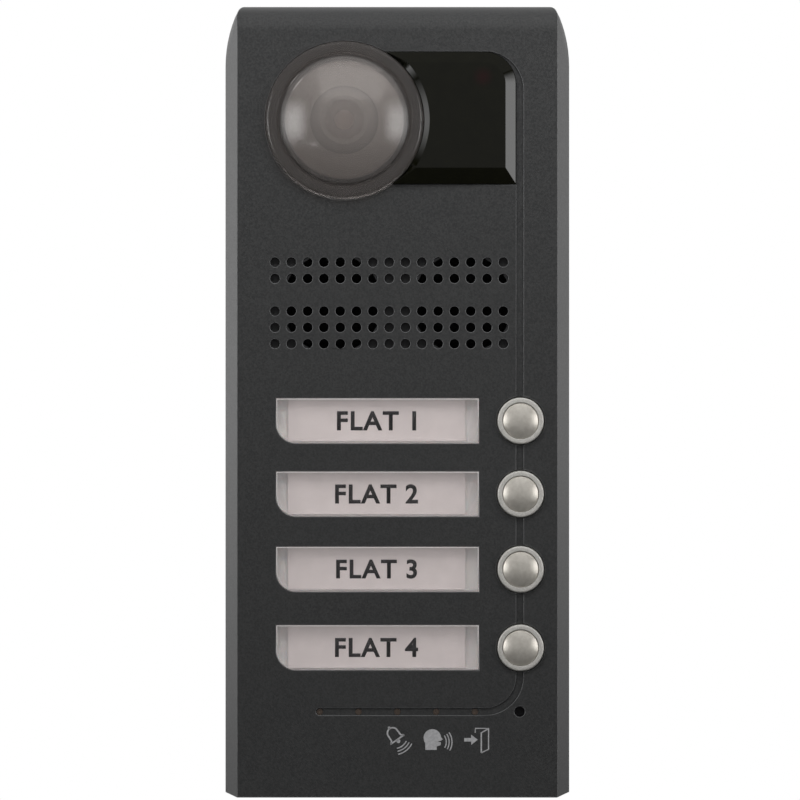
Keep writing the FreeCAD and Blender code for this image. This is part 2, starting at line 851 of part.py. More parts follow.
def speaker(side_name, side):
    """Loudspeaker: pressed frame, paper cone with its dust cap, and a magnet behind."""
    centre = (side * D["speaker_x"], D["speaker_z"])
    rim = FACE_BACK - 2.2
    outer = D["speaker_round"]
    frame = [
        (outer - 2.2, rim),
        (outer - 2.2, rim - 1.0),
        (11.6, rim - 5.0),
        (6.5, rim - 5.0),
        (6.5, rim - 5.9),
        (12.0, rim - 5.9),
        (outer - 1.6, rim - 1.9),
        (outer, rim - 1.9),
        (outer, rim),
    ]
    keep(f"speaker_frame_{side_name}", turned(f"speaker_frame_{side_name}", frame, centre))
    cone = [
        (0, rim - 1.6, 12.0, -1),
        (5.2, rim - 2.8),
        (6.0, rim - 3.3),
        (13.0, rim - 0.9, 1.5, -1),
        (15.2, rim - 0.9),
        (15.2, rim - 1.3, 1.8, 1),
        (12.8, rim - 1.5),
        (6.0, rim - 4.0),
        (0, rim - 4.0),
    ]
    keep(f"speaker_cone_{side_name}", turned(f"speaker_cone_{side_name}", cone, centre))
    magnet = ring_profile(0, 9.0, 12.4, rim - 5.95)
    keep(f"speaker_magnet_{side_name}", turned(f"speaker_magnet_{side_name}", magnet, centre))


def microphone():
    """Electret capsule in a rubber boot that seals it to the back of the face."""
    place = (D["microphone_x"], D["microphone_z"])
    board = D["board_front"] + 0.05
    boot = [
        (1.7, FACE_BACK - 0.05),
        (1.7, FACE_BACK - 1.5),
        (3.1, FACE_BACK - 1.5),
        (3.1, board),
        (4.6, board),
        (4.6, FACE_BACK - 0.05),
    ]
    keep("microphone_boot", turned("microphone_boot", boot, place))
    capsule = ring_profile(0, 3.0, FACE_BACK - 5.6, FACE_BACK - 1.6)
    keep("microphone_capsule", turned("microphone_capsule", capsule, place))


# ---------------------------------------------------------------- labels


def label_parts(number, row):
    """Clear window from behind the face with a lip all round, and the paper card under it."""
    window = new_body(f"label_window_{number}")
    front = new_sketch(window, f"label_front_{number}", offset=FACE_BACK - 0.1)
    draw_outline(front, label_corners(row, -0.12))
    pad(window, front, D["wall_thick"] + 0.1)
    lip = new_sketch(window, f"label_lip_{number}", offset=FACE_BACK - 1.3)
    draw_outline(lip, label_corners(row, 1.3))
    pad(window, lip, 1.2)
    bed = new_sketch(window, f"label_bed_{number}", offset=FACE_BACK - 1.3)
    half = D["label_tall"] / 2
    draw_rectangle(
        bed, D["label_left"] + 3.6, row - half + 0.5, D["label_right"] - 4.2, row + half - 0.5
    )
    pocket(window, bed, 0.5, Reversed=True)
    keep(f"label_window_{number}", window)

    def draw(sketch):
        draw_rectangle(
            sketch, D["label_left"] + 3.8, row - half + 0.7, D["label_right"] - 4.4, row + half - 0.7
        )

    card_back = FACE_BACK - 1.25
    keep(f"name_card_{number}", plate(f"name_card_{number}", card_back, card_back + 0.35, draw))


def label_lighting():
    """Frosted plates behind the cards, the white box that keeps the light in, and its lamps."""
    diffusers = []
    lamps = []
    left = D["label_left"] - 1.2
    right = D["label_right"] + 1.2
    half = D["label_tall"] / 2 + 1.2
    for number, row in enumerate(BUTTON_ROWS, start=1):
        diffusers.append(
            box(f"diffuser_{number}", left, row - half, FACE_BACK - 2.4, right, row + half, FACE_BACK - 1.4)
        )
        for x in (-27.0, -6.0, 15.0):
            lamps.append(
                box(f"lamp_{number}_{x:.0f}", x - 1.4, row - 1.75, 11.65, x + 1.4, row + 1.75, 12.6)
            )
    keep("label_diffusers", group("label_diffusers", diffusers))
    keep("label_lamps", group("label_lamps", lamps))
    body = new_body("label_light_box")
    block = new_sketch(body, "light_box_outline", offset=D["board_front"] + 0.05)
    wall = 1.0
    draw_rectangle(
        block,
        left - wall,
        BUTTON_ROWS[3] - half - wall,
        right + wall,
        BUTTON_ROWS[0] + half + wall,
    )
    pad(body, block, FACE_BACK - 2.45 - D["board_front"] - 0.05)
    cells = new_sketch(body, "light_box_cells", offset=FACE_BACK - 2.45)
    for row in BUTTON_ROWS:
        draw_rectangle(cells, left + 0.8, row - half + 0.8, right - 0.8, row + half - 0.8)
    pocket(body, cells, D["panel_deep"])
    gaps = new_sketch(body, "light_box_gaps", offset=FACE_BACK - 2.45)
    for upper, lower in zip(BUTTON_ROWS, BUTTON_ROWS[1:]):
        draw_rectangle(gaps, left + 4.0, lower + half + wall, right - 4.0, upper - half - wall)
    pocket(body, gaps, D["panel_deep"])
    keep("label_light_box", body)


# ---------------------------------------------------------------- call buttons


def button_parts(number, row):
    """Fixed ring, domed cap on a stem, and the spring that brings the cap back."""
    place = (D["button_x"], row)
    ring_out = D["ring_round"]
    ring_in = D["cap_round"] + 0.25
    lip = FACE_BACK - 0.5
    front = FACE + 1.3
    ring = [
        (ring_in, lip - 0.8),
        (ring_in, front - 0.5, 0.5, -1),
        (ring_in + 0.5, front),
        (ring_out - 0.55, front, 0.55, -1),
        (ring_out, front - 0.55),
        (ring_out, lip),
        (ring_out + 1.35, lip),
        (ring_out + 1.35, lip - 0.8),
    ]
    keep(f"button_ring_{number}", turned(f"button_ring_{number}", ring, place))
    cap = D["cap_round"]
    flange = lip - 1.1
    crown = FACE + 2.6
    profile = [
        (0, crown, 14.0, -1),
        (cap - 0.35, crown - 1.1, 0.5, -1),
        (cap, crown - 1.6),
        (cap, flange),
        (cap + 0.8, flange),
        (cap + 0.8, flange - 0.8),
        (4.3, flange - 0.8),
        (4.3, FACE),
        (1.5, FACE),
        (1.5, STEM_END),
        (0, STEM_END),
    ]
    keep(f"button_cap_{number}", turned(f"button_cap_{number}", profile, place))
    coil_round = 2.9
    coil_foot = -18.45
    coil = doc.addObject("Part::Helix", f"spring_path_{number}")
    coil.Pitch = 1.22
    coil.Height = 6.1
    coil.Radius = coil_round
    coil.Placement = FreeCAD.Placement(
        FreeCAD.Vector(place[0].value, coil_foot, place[1].value), ACROSS
    )
    wire = doc.addObject("Part::RegularPolygon", f"spring_wire_{number}")
    wire.Polygon = 8
    wire.Circumradius = 0.23
    wire.Placement = FreeCAD.Placement(
        FreeCAD.Vector(place[0].value + coil_round, coil_foot, place[1].value), FreeCAD.Rotation()
    )
    spring = doc.addObject("Part::Sweep", f"button_spring_{number}")
    spring.Sections = [wire]
    spring.Spine = (coil, ["Edge1"])
    spring.Solid = True
    spring.Frenet = True
    keep(f"button_spring_{number}", spring)


def button_supports():
    """Flat gaskets under the rings, the plate that guides the stems, and the push switches."""
    gaskets = []
    switches = []
    ring_in = D["ring_round"] + 0.45
    for number, row in enumerate(BUTTON_ROWS, start=1):
        place = (D["button_x"], row)
        section = ring_profile(ring_in, D["ring_round"] + 1.3, FACE_BACK - 0.45, FACE_BACK - 0.05)
        gaskets.append(turned(f"button_gasket_{number}", section, place))
        base = box(
            f"switch_base_{number}",
            place[0] - 3.0,
            row - 3.0,
            11.65,
            place[0] + 3.0,
            row + 3.0,
            14.2,
        )
        plunger = rod(f"switch_plunger_{number}", *place, 14.1, SWITCH_TOP, 1.7)
        switches.append(fuse(f"push_switch_{number}", [base, plunger]))
    keep("button_gaskets", group("button_gaskets", gaskets))
    keep("push_switches", group("push_switches", switches))
    body = new_body("button_guide")
    slab = new_sketch(body, "guide_plate", offset=16.9)
    draw_rectangle(slab, 30.4, BUTTON_ROWS[3] - 8.5, 48.2, BUTTON_ROWS[0] + 8.5)
    pad(body, slab, 1.2)
    feet = new_sketch(body, "guide_feet", offset=D["board_front"] + 0.05)
    for upper, lower in zip(BUTTON_ROWS, BUTTON_ROWS[1:]):
        draw_circle(feet, D["button_x"], (upper + lower) / 2, 2.0)
    pad(body, feet, 16.95 - D["board_front"])
    stems = new_sketch(body, "guide_holes", offset=18.1)
    for row in BUTTON_ROWS:
        draw_circle(stems, D["button_x"], row, 1.8)
    pocket(body, stems, 2.0)
    keep("button_guide", body)


# ---------------------------------------------------------------- status lights


def status_lights():
    """Clear moulding with a pin in each hole of the groove, and the lamps on the board."""
    half = 2 * D["lamp_pitch"] + 2.5
    bar = box(
        "light_bar", -half, D["lamp_z"] - 1.8, FACE_BACK - 1.6, half, D["lamp_z"] + 1.8, FACE_BACK - 0.1
    )
    solids = [bar]
    lamps = []
    for step in range(-2, 3):
        x = step * D["lamp_pitch"]
        tip = FACE - D["groove_deep"] + 0.1
        solids.append(rod(f"light_pin_{step + 2}", x, D["lamp_z"], FACE_BACK - 0.2, tip, 0.97))
        solids.append(rod(f"light_leg_{step + 2}", x, D["lamp_z"], 13.2, FACE_BACK - 1.5, 1.3))
        lamps.append(
            box(
                f"status_lamp_{step + 2}",
                x - 1.0,
                D["lamp_z"] - 0.7,
                11.65,
                x + 1.0,
                D["lamp_z"] + 0.7,
                12.7,
            )
        )
    keep("status_light_guide", fuse("status_light_guide", solids))
    keep("status_lamps", group("status_lamps", lamps))


# ---------------------------------------------------------------- main board


def main_board():
    """Printed board on the six bosses of the cover."""
    def draw(sketch):
        draw_rectangle(
            sketch, D["board_left"], D["board_bottom"], D["board_right"], D["board_top"]
        )
        for x, z in board_boss_places():
            draw_circle(sketch, x, z, 1.5)

    keep("main_board", plate("main_board", BOARD_BACK, D["board_front"], draw))
    screws = [
        screw(f"board_screw_{n}", x, z, 17.5, BOARD_BACK - 0.05, BOARD_BACK - 1.6)
        for n, (x, z) in enumerate(board_boss_places())
    ]
    keep("board_screws", group("board_screws", screws))


def board_parts():
    """Chips, the door relay and the terminal block on the wall side of the board."""
    back = BOARD_BACK - 0.05
    chips = [
        box("processor", -22.0, -30.0, back - 1.2, -8.0, -16.0, back),
        box("memory", -22.0, -48.0, back - 1.0, -12.0, -40.0, back),
        box("sound_chip", 4.0, 6.0, back - 1.2, 14.0, 16.0, back),
        box("power_chip", 20.0, -60.0, back - 1.6, 30.0, -52.0, back),
    ]
    for number, z in enumerate((-92.0, -82.0)):
        chips.append(rod(f"capacitor_{number}", 34.0, z, back - 5.2, back, 4.0))
    keep("board_chips", group("board_chips", chips))
    keep("door_relay", box("door_relay", 8.0, -96.0, back - 5.4, 26.0, -80.0, back))
    body = new_body("terminal_block")
    block = new_sketch(body, "terminal_outline", offset=back - 6.0)
    draw_rectangle(block, -22.0, 38.0, 20.0, 47.0)
    pad(body, block, 6.0)
    doc.recompute()
    entries = new_sketch(body, "wire_entries", "XY_Plane", 47.0)
    for step in range(8):
        draw_rectangle(entries, -21.0 + step * 5.1, 1.4 - back, -17.4 + step * 5.1, 4.2 - back)
    pocket(body, entries, 5.0)
    heads = new_sketch(body, "terminal_screws", offset=back - 6.0)
    for step in range(8):
        draw_circle(heads, -19.2 + step * 5.1, 40.8, 1.5)
    pocket(body, heads, 1.2, Reversed=True)
    keep("terminal_block", body)


# ---------------------------------------------------------------- wall fixing


def fixing_places():
    return [(sx * D["fixing_x"], sz * D["fixing_z"]) for sx in (-1, 1) for sz in (-1, 1)]


def plate_corners():
    half = D["plate_wide"] / 2
    top = D["plate_top"]
    bottom = D["plate_bottom"]
    return [
        (-half, bottom),
        (half, bottom),
        (half, top - 16.0),
        (half - 1.8, top - 5.5),
        (half - 6.5, top),
        (6.5 - half, top),
        (1.8 - half, top - 5.5),
        (-half, top - 16.0),
    ]


def box_window():
    """Window in plate and gasket, over a flush wall box: left, bottom, right, top."""
    return -24.0, -72.0, 24.0, -12.0


def back_plate():
    """Pressed steel plate: hooks at the top, a tapped flange at the foot, holes for the wall."""
    body = new_body("back_plate")
    sheet_metal = new_sketch(body, "plate_outline", offset=PLATE_BACK)
    draw_outline(sheet_metal, plate_corners())
    for x, z in fixing_places():
        draw_circle(sheet_metal, x, z, D["fixing_hole"])
    draw_circle(sheet_metal, D["cable_x"], D["cable_z"], D["cable_bore"] + 4.6)
    draw_rectangle(sheet_metal, *box_window())
    pad(body, sheet_metal, D["plate_thick"])
    shelf = new_sketch(body, "hook_shelf", offset=PLATE_FRONT - 0.1)
    draw_rectangle(shelf, -34.0, D["plate_top"] - 4.3, -12.0, D["plate_top"] - 2.9)
    draw_rectangle(shelf, 12.0, D["plate_top"] - 4.3, 34.0, D["plate_top"] - 2.9)
    pad(body, shelf, 4.0)
    lips = new_sketch(body, "hook_lips", offset=PLATE_FRONT + 2.5)
    draw_rectangle(lips, -34.0, D["plate_top"] - 4.3, -12.0, D["plate_top"] - 0.2)
    draw_rectangle(lips, 12.0, D["plate_top"] - 4.3, 34.0, D["plate_top"] - 0.2)
    pad(body, lips, 1.4)
    foot = new_sketch(body, "foot_flange", offset=PLATE_FRONT - 0.1)
    draw_rectangle(foot, -38.0, D["plate_bottom"], 38.0, D["plate_bottom"] + 1.8)
    pad(body, foot, 10.5)
    taps = new_sketch(body, "foot_taps", "XY_Plane", D["plate_bottom"] + 1.8)
    for side in (-1, 1):
        draw_circle(taps, side * D["cover_screw_x"], -D["cover_screw_out"], 1.7)
    pocket(body, taps, 4.0)
    keep("back_plate", body)


def wall_seal():
    """Foam gasket between plate and wall, and the rubber grommet for the cable."""
    def draw(sketch):
        draw_outline(sketch, plate_corners())
        for x, z in fixing_places():
            draw_circle(sketch, x, z, 3.5)
        draw_circle(sketch, D["cable_x"], D["cable_z"], 13.2)
        draw_rectangle(sketch, *box_window())

    keep("wall_gasket", plate("wall_gasket", 0, PLATE_BACK - 0.05, draw))
    bore = D["cable_bore"]
    groove = bore + 4.5
    profile = [
        (bore, 0.3),
        (12.6, 0.3),
        (12.6, PLATE_BACK - 0.1),
        (groove, PLATE_BACK - 0.1),
        (groove, PLATE_FRONT + 0.1),
        (12.6, PLATE_FRONT + 0.1),
        (bore + 2.2, PLATE_FRONT + 2.6),
        (bore, PLATE_FRONT + 2.6),
    ]
    centre = (D["cable_x"], D["cable_z"])
    keep("cable_grommet", turned("cable_grommet", profile, centre))


def cover_screws():
    """Two pin-hexagon security screws, up through the foot of the cover into the back plate."""
    screws = []
    under = -D["panel_tall"] / 2
    for number, side in enumerate((-1, 1)):
        solids = []
        for name, start, high, radius in (("head", 0.1, 1.1, 3.5), ("shank", 1.1, 6.0, 1.65)):
            piece = doc.addObject("Part::Cylinder", f"cover_screw_{name}_{number}")
            piece.Radius = radius
            piece.Height = high
            piece.setExpression("Placement.Base.x", (side * D["cover_screw_x"]).text)
            piece.setExpression("Placement.Base.y", (-D["cover_screw_out"]).text)
            piece.setExpression("Placement.Base.z", (under + start).text)
            solids.append(piece)
        socket = doc.addObject("Part::Prism", f"cover_screw_socket_{number}")
        socket.Polygon = 6
        socket.Circumradius = 1.7
        socket.Height = 0.9
        socket.setExpression("Placement.Base.x", (side * D["cover_screw_x"]).text)
        socket.setExpression("Placement.Base.y", (-D["cover_screw_out"]).text)
        socket.setExpression("Placement.Base.z", (under + 0.05).text)
        screws.append(cut(f"cover_screw_{number}", fuse(f"cover_screw_solid_{number}", solids), [socket]))
    keep("cover_screws", group("cover_screws", screws))


# ---------------------------------------------------------------- assembly


front_cover()
camera_dome()
camera_fixings()
camera_holder()
camera_yoke()
camera_eye()
camera_optics()
camera_screws()
reader_window()
reader_antenna()
speaker_baffle()
speaker("left", -1)
speaker("right", 1)
microphone()
for number, row in enumerate(BUTTON_ROWS, start=1):
    label_parts(number, row)
    button_parts(number, row)
label_lighting()
button_supports()
status_lights()
main_board()
board_parts()
back_plate()
wall_seal()
cover_screws()
doc.recompute()

for obj in doc.Objects:
    if "Invalid" in obj.State or "Error" in obj.State:
        raise RuntimeError(f"{obj.Label} did not compute: {obj.State}")
for part in parts:
    if part.Shape.isNull() or not part.Shape.isValid() or part.Shape.Volume <= 0:
        raise RuntimeError(f"{part.Label} has no valid shape")

os.makedirs("parts", exist_ok=True)
for part in parts:
    part.Shape.exportStep(f"parts/{part.Label}.step")
    print(f"{part.Label}: {part.Shape.Volume:.1f} mm3, {len(part.Shape.Solids)} solid(s)")
print("sub-parts:", len(parts))
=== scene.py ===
# %% [markdown]
# # A door intercom panel, finished in Blender
# The panel hangs on a wall beside a street door: a painted metal housing with a smoked camera dome,
# a black badge reader, two loudspeakers behind rows of holes, four lit name cards and four call
# buttons. The CAD frame already holds every part at its true size, so this lesson adds what a
# caller's eye reads: rounded edges, satin and gloss, print, paper and glass. Everything is in metres.
# X is to the right, Z is up, the wall is the plane Y = 0 and the front looks towards -Y.

# %% Load the frame
import math

import bmesh
import bpy
import numpy as np
from mathutils import Matrix, Vector


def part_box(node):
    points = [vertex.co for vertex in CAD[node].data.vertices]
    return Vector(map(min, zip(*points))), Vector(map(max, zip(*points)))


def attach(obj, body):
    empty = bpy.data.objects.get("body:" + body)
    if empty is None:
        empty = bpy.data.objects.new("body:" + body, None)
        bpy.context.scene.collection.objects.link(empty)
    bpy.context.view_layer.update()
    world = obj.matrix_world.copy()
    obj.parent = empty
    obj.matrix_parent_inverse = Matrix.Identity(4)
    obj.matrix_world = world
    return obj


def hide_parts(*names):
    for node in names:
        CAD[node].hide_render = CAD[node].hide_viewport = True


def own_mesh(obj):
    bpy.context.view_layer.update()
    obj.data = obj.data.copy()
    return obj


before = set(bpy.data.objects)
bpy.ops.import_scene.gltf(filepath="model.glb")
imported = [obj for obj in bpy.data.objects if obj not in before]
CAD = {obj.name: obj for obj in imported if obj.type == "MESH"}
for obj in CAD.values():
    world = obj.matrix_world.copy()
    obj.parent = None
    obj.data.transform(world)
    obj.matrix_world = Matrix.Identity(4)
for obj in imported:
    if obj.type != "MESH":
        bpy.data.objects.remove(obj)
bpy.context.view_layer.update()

MM = 0.001

# %% [markdown]
# ## Places read from the frame
# Every piece below is placed by the CAD parts, never by eye. "Out" is the distance from the wall,
# so out = -Y. A node's box gives its middle and its front, and those few numbers drive the rest.

# %% Measure the frame
def middle_of(node):
    """Middle of a CAD part as (x, z)."""
    low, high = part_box(node)
    return (low.x + high.x) / 2, (low.z + high.z) / 2


def front_of(node):
    """How far out a CAD part reaches."""
    return -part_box(node)[0].y


def back_of(node):
    """How far out the rear of a CAD part lies."""
    return -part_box(node)[1].y


FACE = front_of("front_cover")
EYE = middle_of("camera_dome")
ROWS = [1, 2, 3, 4]
print("face stands", round(FACE / MM, 2), "mm from the wall; camera at", [round(v / MM, 2) for v in EYE])

# %% [markdown]
# ## The stage: floor, camera and lights
# A wall panel is shown like a small product: a long lens straight in front, a white backdrop, and a
# tall softbox on each side. The softboxes are what a caller would see mirrored in the dome and in the
# bevels of the reader. They are built as glowing panels that fade towards their edges, because a soft
# edge in a highlight is what makes plastic look like plastic. The camera doesn't see them.

# %% Camera
CAMERA_DISTANCE = 1.8
CAMERA_LENS = 256.7
camera_data = bpy.data.cameras.new("camera")
camera = bpy.data.objects.new("camera", camera_data)
bpy.context.scene.collection.objects.link(camera)
bpy.context.scene.camera = camera
camera.location = (0.85 * MM, -(FACE + CAMERA_DISTANCE), 0.46 * MM)
camera.rotation_euler = (math.radians(90), 0, 0)
camera_data.sensor_width = 36
camera_data.lens = CAMERA_LENS
camera_data.clip_start = 0.01
camera_data.clip_end = 50
camera_data.dof.use_dof = False
bpy.context.scene.view_settings.view_transform = "Standard"
bpy.context.scene.view_settings.look = "None"
print("camera looks along +Y from", round(camera.location.y, 3), "m")

# %% [markdown]
# ### Helpers for meshes
# A finished piece keeps its object at the origin and its place in its mesh. Points are numpy arrays,
# worked out all at once, and one helper puts them into Blender.

# %% Mesh helpers
def mesh_piece(name, points, faces, outward=True):
    """New object from an array of points and a list of faces. Doubles are merged and, for a closed
    shell, the faces are turned outwards."""
    mesh = bpy.data.meshes.new(name)
    mesh.from_pydata(np.asarray(points, float).tolist(), [], [list(face) for face in faces])
    shape = bmesh.new()
    shape.from_mesh(mesh)
    bmesh.ops.remove_doubles(shape, verts=shape.verts, dist=1e-7)
    if outward:
        bmesh.ops.recalc_face_normals(shape, faces=shape.faces)
    shape.to_mesh(mesh)
    shape.free()
    piece = bpy.data.objects.new(name, mesh)
    bpy.context.scene.collection.objects.link(piece)
    return piece


def points_of(mesh):
    """Places of a mesh's points, (n, 3)."""
    spots = np.zeros(len(mesh.vertices) * 3)
    mesh.vertices.foreach_get("co", spots)
    return spots.reshape(-1, 3)


def smooth(piece, degrees=40):
    """Smooth shading, with edges sharper than the given angle kept crisp."""
    piece.data.polygons.foreach_set("use_smooth", np.ones(len(piece.data.polygons), bool))
    piece.data.set_sharp_from_angle(angle=math.radians(degrees))
    return piece


def grid_faces(rows, columns, closed_rows=False, closed_columns=False):
    """Quads of a grid of points numbered row by row. A closed direction joins its last line to its first."""
    row = np.arange(rows if closed_rows else rows - 1)
    column = np.arange(columns if closed_columns else columns - 1)
    row, column = np.meshgrid(row, column, indexing="ij")
    next_row, next_column = (row + 1) % rows, (column + 1) % columns
    corners = [(row, column), (row, next_column), (next_row, next_column), (next_row, column)]
    return np.stack([(a * columns + b).ravel() for a, b in corners], axis=1)


def panel(name, centre, across, up, wide, tall):
    """Flat rectangle: centre + s across + t up, with s and t from minus to plus half its size."""
    s, t = np.meshgrid([-wide / 2, wide / 2], [-tall / 2, tall / 2])
    points = np.array(centre) + s.ravel()[:, None] * np.array(across) + t.ravel()[:, None] * np.array(up)
    return mesh_piece(name, points, [(0, 1, 3, 2)], outward=False)


print("grid of 3 by 4 has", len(grid_faces(3, 4)), "quads")

# %% [markdown]
# ### Helpers for shader nodes
# Lights and finishes are small networks of nodes. A few helpers keep them short. The first adds a node
# and fills its inputs, each with a constant or with a link from another node, so a network reads like
# a formula. The others find a node that a recipe already made, and start or end a network.

# %% Node helpers
def fill(tree, socket, value):
    """Gives an input a constant, or links it: to a node's first output, or to one named in a pair."""
    if isinstance(value, bpy.types.Node):
        value = (value, 0)
    if isinstance(value, tuple) and isinstance(value[0], bpy.types.Node):
        tree.links.new(value[0].outputs[value[1]], socket)
    else:
        socket.default_value = value


def add_node(tree, kind, *entries, operation=None, smoothstep=False, **values):
    """New shader node. entries fill its inputs in order, and values fill them by name, with
    underscores for spaces."""
    node = tree.nodes.new("ShaderNode" + kind)
    if operation:
        node.operation = operation
    if smoothstep:
        node.interpolation_type = "SMOOTHSTEP"
    for number, value in enumerate(entries):
        fill(tree, node.inputs[number], value)
    for name, value in values.items():
        fill(tree, node.inputs[name.replace("_", " ")], value)
    return node


def node_of(tree, kind):
    """First node of a type in a tree."""
    return next(node for node in tree.nodes if node.type == kind)


def shader_material(name):
    """New material, its tree and its shader."""
    material = bpy.data.materials.new(name)
    material.use_nodes = True
    return material, material.node_tree, material.node_tree.nodes["Principled BSDF"]


def plain_paint(name, colour, roughness):
    """One flat colour, for what only stands on the stage."""
    material, tree, shader = shader_material(name)
    shader.inputs["Base Color"].default_value = (*colour, 1)
    shader.inputs["Roughness"].default_value = roughness
    return material


def glow_out(tree, strength):
    """Ends a tree in an emission whose strength comes from a node."""
    add_node(tree, "OutputMaterial", add_node(tree, "Emission", Strength=strength))


print("node helpers ready")

# %% [markdown]
# ### Softboxes
# Each softbox is a panel that faces the object. Its glow is full in the middle and falls smoothly to
# nothing at the edge, from the distance to the middle in the panel's own UV square. A small card low
# on the left draws the light line under the dome's flange. A dark flag just below the object keeps
# light off the lower half of the face, so its tone falls towards the bottom.

# %% Light panels
def glowing(name, strength, edge):
    """Emission that fades from the middle to the edge of a panel's UV square. edge is the soft share."""
    material, tree, shader = shader_material(name)
    tree.nodes.clear()
    square = (add_node(tree, "TexCoord"), "UV")
    shift = add_node(tree, "VectorMath", square, (0.5, 0.5, 0), operation="SUBTRACT")
    split = add_node(tree, "SeparateXYZ", add_node(tree, "VectorMath", shift, operation="ABSOLUTE"))
    fades = [
        add_node(tree, "MapRange", (split, axis), 0.5, 0.5 - edge / 2, smoothstep=True) for axis in ("X", "Y")
    ]
    both = add_node(tree, "Math", *fades, operation="MULTIPLY")
    glow_out(tree, add_node(tree, "Math", both, strength, operation="MULTIPLY"))
    return material


def softbox(name, side_angle, rise_angle, wide, tall, strength, edge, distance=1.2):
    """Panel at a distance, seen from the face at side_angle to the right and rise_angle up."""
    side, rise = math.radians(side_angle), math.radians(rise_angle)
    away = np.array([math.sin(side) * math.cos(rise), -math.cos(side) * math.cos(rise), math.sin(rise)])
    across = np.array([math.cos(side), math.sin(side), 0.0])
    up = np.cross(across, away)
    centre = np.array([0, -FACE, 0]) + away * distance
    piece = panel(name, centre, across, up, wide, tall)
    square = piece.data.uv_layers.new(name="UVMap")
    square.data.foreach_set("uv", np.array([0, 0, 1, 0, 1, 1, 0, 1], float))
    piece.data.materials.append(glowing(name, strength, edge))
    piece.visible_camera = False
    piece.visible_shadow = False


softbox("left_softbox", -60, 4, 0.9, 1.2, 4.3, edge=0.9)
softbox("right_softbox", 61, 4, 0.9, 1.2, 3.9, edge=0.9)
softbox("low_left_card", -44, -27, 0.6, 0.55, 3.6, edge=0.8)
flag = panel("dark_flag", (0, -0.24, -0.15), (1, 0, 0), (0, 1, 0), 0.9, 0.36)
flag.data.materials.append(plain_paint("flag_black", (0.01, 0.01, 0.01), 0.9))
flag.visible_camera = False

key_data = bpy.data.lights.new("top_light", "AREA")
key_data.shape = "RECTANGLE"
key_data.size = 0.5
key_data.size_y = 0.25
key_data.energy = 1.55
key_light = bpy.data.objects.new("top_light", key_data)
bpy.context.scene.collection.objects.link(key_light)
key_light.location = (0.05, -0.26, 0.34)
key_light.rotation_euler = Vector((0, 0.26 - FACE, -0.28)).to_track_quat("-Z", "Y").to_euler()
key_light.visible_camera = False
key_light.visible_glossy = False
print("two softboxes, a low card at the left, a dark flag below and one top light")

# %% [markdown]
# ### Backdrop and floor
# The backdrop is white to the camera. What the object itself sees of the room is dimmer: bright
# behind, where the white paper is, and grey in front, where the studio is dark. A pale floor lies
# half a metre below, where a reader can set the panel down in another view. A sheet of glowing paper
# just behind lights the flared sides: its glow falls towards the bottom and towards the right.

# %% World and floor
FLOOR_DROP = 0.5
ROOM_FRONT = 0.30
ROOM_BACK = 0.9
ROOM_BELOW = 0.12

world = bpy.data.worlds.new("studio")
bpy.context.scene.world = world
world.use_nodes = True
sky = world.node_tree
sky.nodes.clear()
axes = add_node(sky, "SeparateXYZ", (add_node(sky, "TexCoord"), "Generated"))
depth = add_node(sky, "MapRange", (axes, "Y"), -0.35, 0.7, ROOM_FRONT, ROOM_BACK, smoothstep=True)
height = add_node(sky, "MapRange", (axes, "Z"), -0.6, 0.15, ROOM_BELOW, 1.0, smoothstep=True)
level = add_node(sky, "Math", depth, height, operation="MULTIPLY")
room = add_node(sky, "Background", Strength=level)
paper_white = add_node(sky, "Background", Color=(1, 1, 1, 1))
to_camera = (add_node(sky, "LightPath"), "Is Camera Ray")
add_node(sky, "OutputWorld", add_node(sky, "MixShader", to_camera, room, paper_white))

angle = np.linspace(0, 2 * math.pi, 96, endpoint=False)
floor_round = 3.0
floor_points = np.stack(
    [floor_round * np.cos(angle), floor_round * np.sin(angle), np.full(96, -FLOOR_DROP)], axis=1
)
floor = mesh_piece("floor", floor_points, [range(96)], outward=False)
floor.data.materials.append(plain_paint("floor_paint", (0.8, 0.8, 0.79), 0.8))
floor.visible_glossy = False

PAPER_BEHIND = 0.22
paper = panel("backdrop_paper", (0, PAPER_BEHIND, 0.05), (1, 0, 0), (0, 0, 1), 1.3, 1.1)
paper_glow, glow_tree, paper_shader = shader_material("backdrop_paper")
paper.data.materials.append(paper_glow)
glow_tree.nodes.clear()
paper_axes = add_node(glow_tree, "SeparateXYZ", (add_node(glow_tree, "TexCoord"), "Object"))
paper_height = add_node(glow_tree, "MapRange", (paper_axes, "Z"), -0.16, 0.0, 0.25, 0.85)
paper_side = add_node(glow_tree, "MapRange", (paper_axes, "X"), -0.2, 0.2, 1.25, 0.85)
glow_out(glow_tree, add_node(glow_tree, "Math", paper_height, paper_side, operation="MULTIPLY"))
paper.visible_camera = False
paper.visible_shadow = False
print("floor", FLOOR_DROP, "m below the middle of the panel")

# %% [markdown]
# ## Finishes
# No real surface is one flat colour. Powder coat has a fine orange-peel, zinc has spangles, paper has
# fibres, moulded plastic has a faint cloud and a spark-eroded grain. Most finishes share one recipe:
# a soft cloud mixes two near tones and moves the roughness, and a finer noise gives the bump. All
# patterns read Object coordinates in metres, so a grain of 0.3 mm is 0.3 mm on every part.

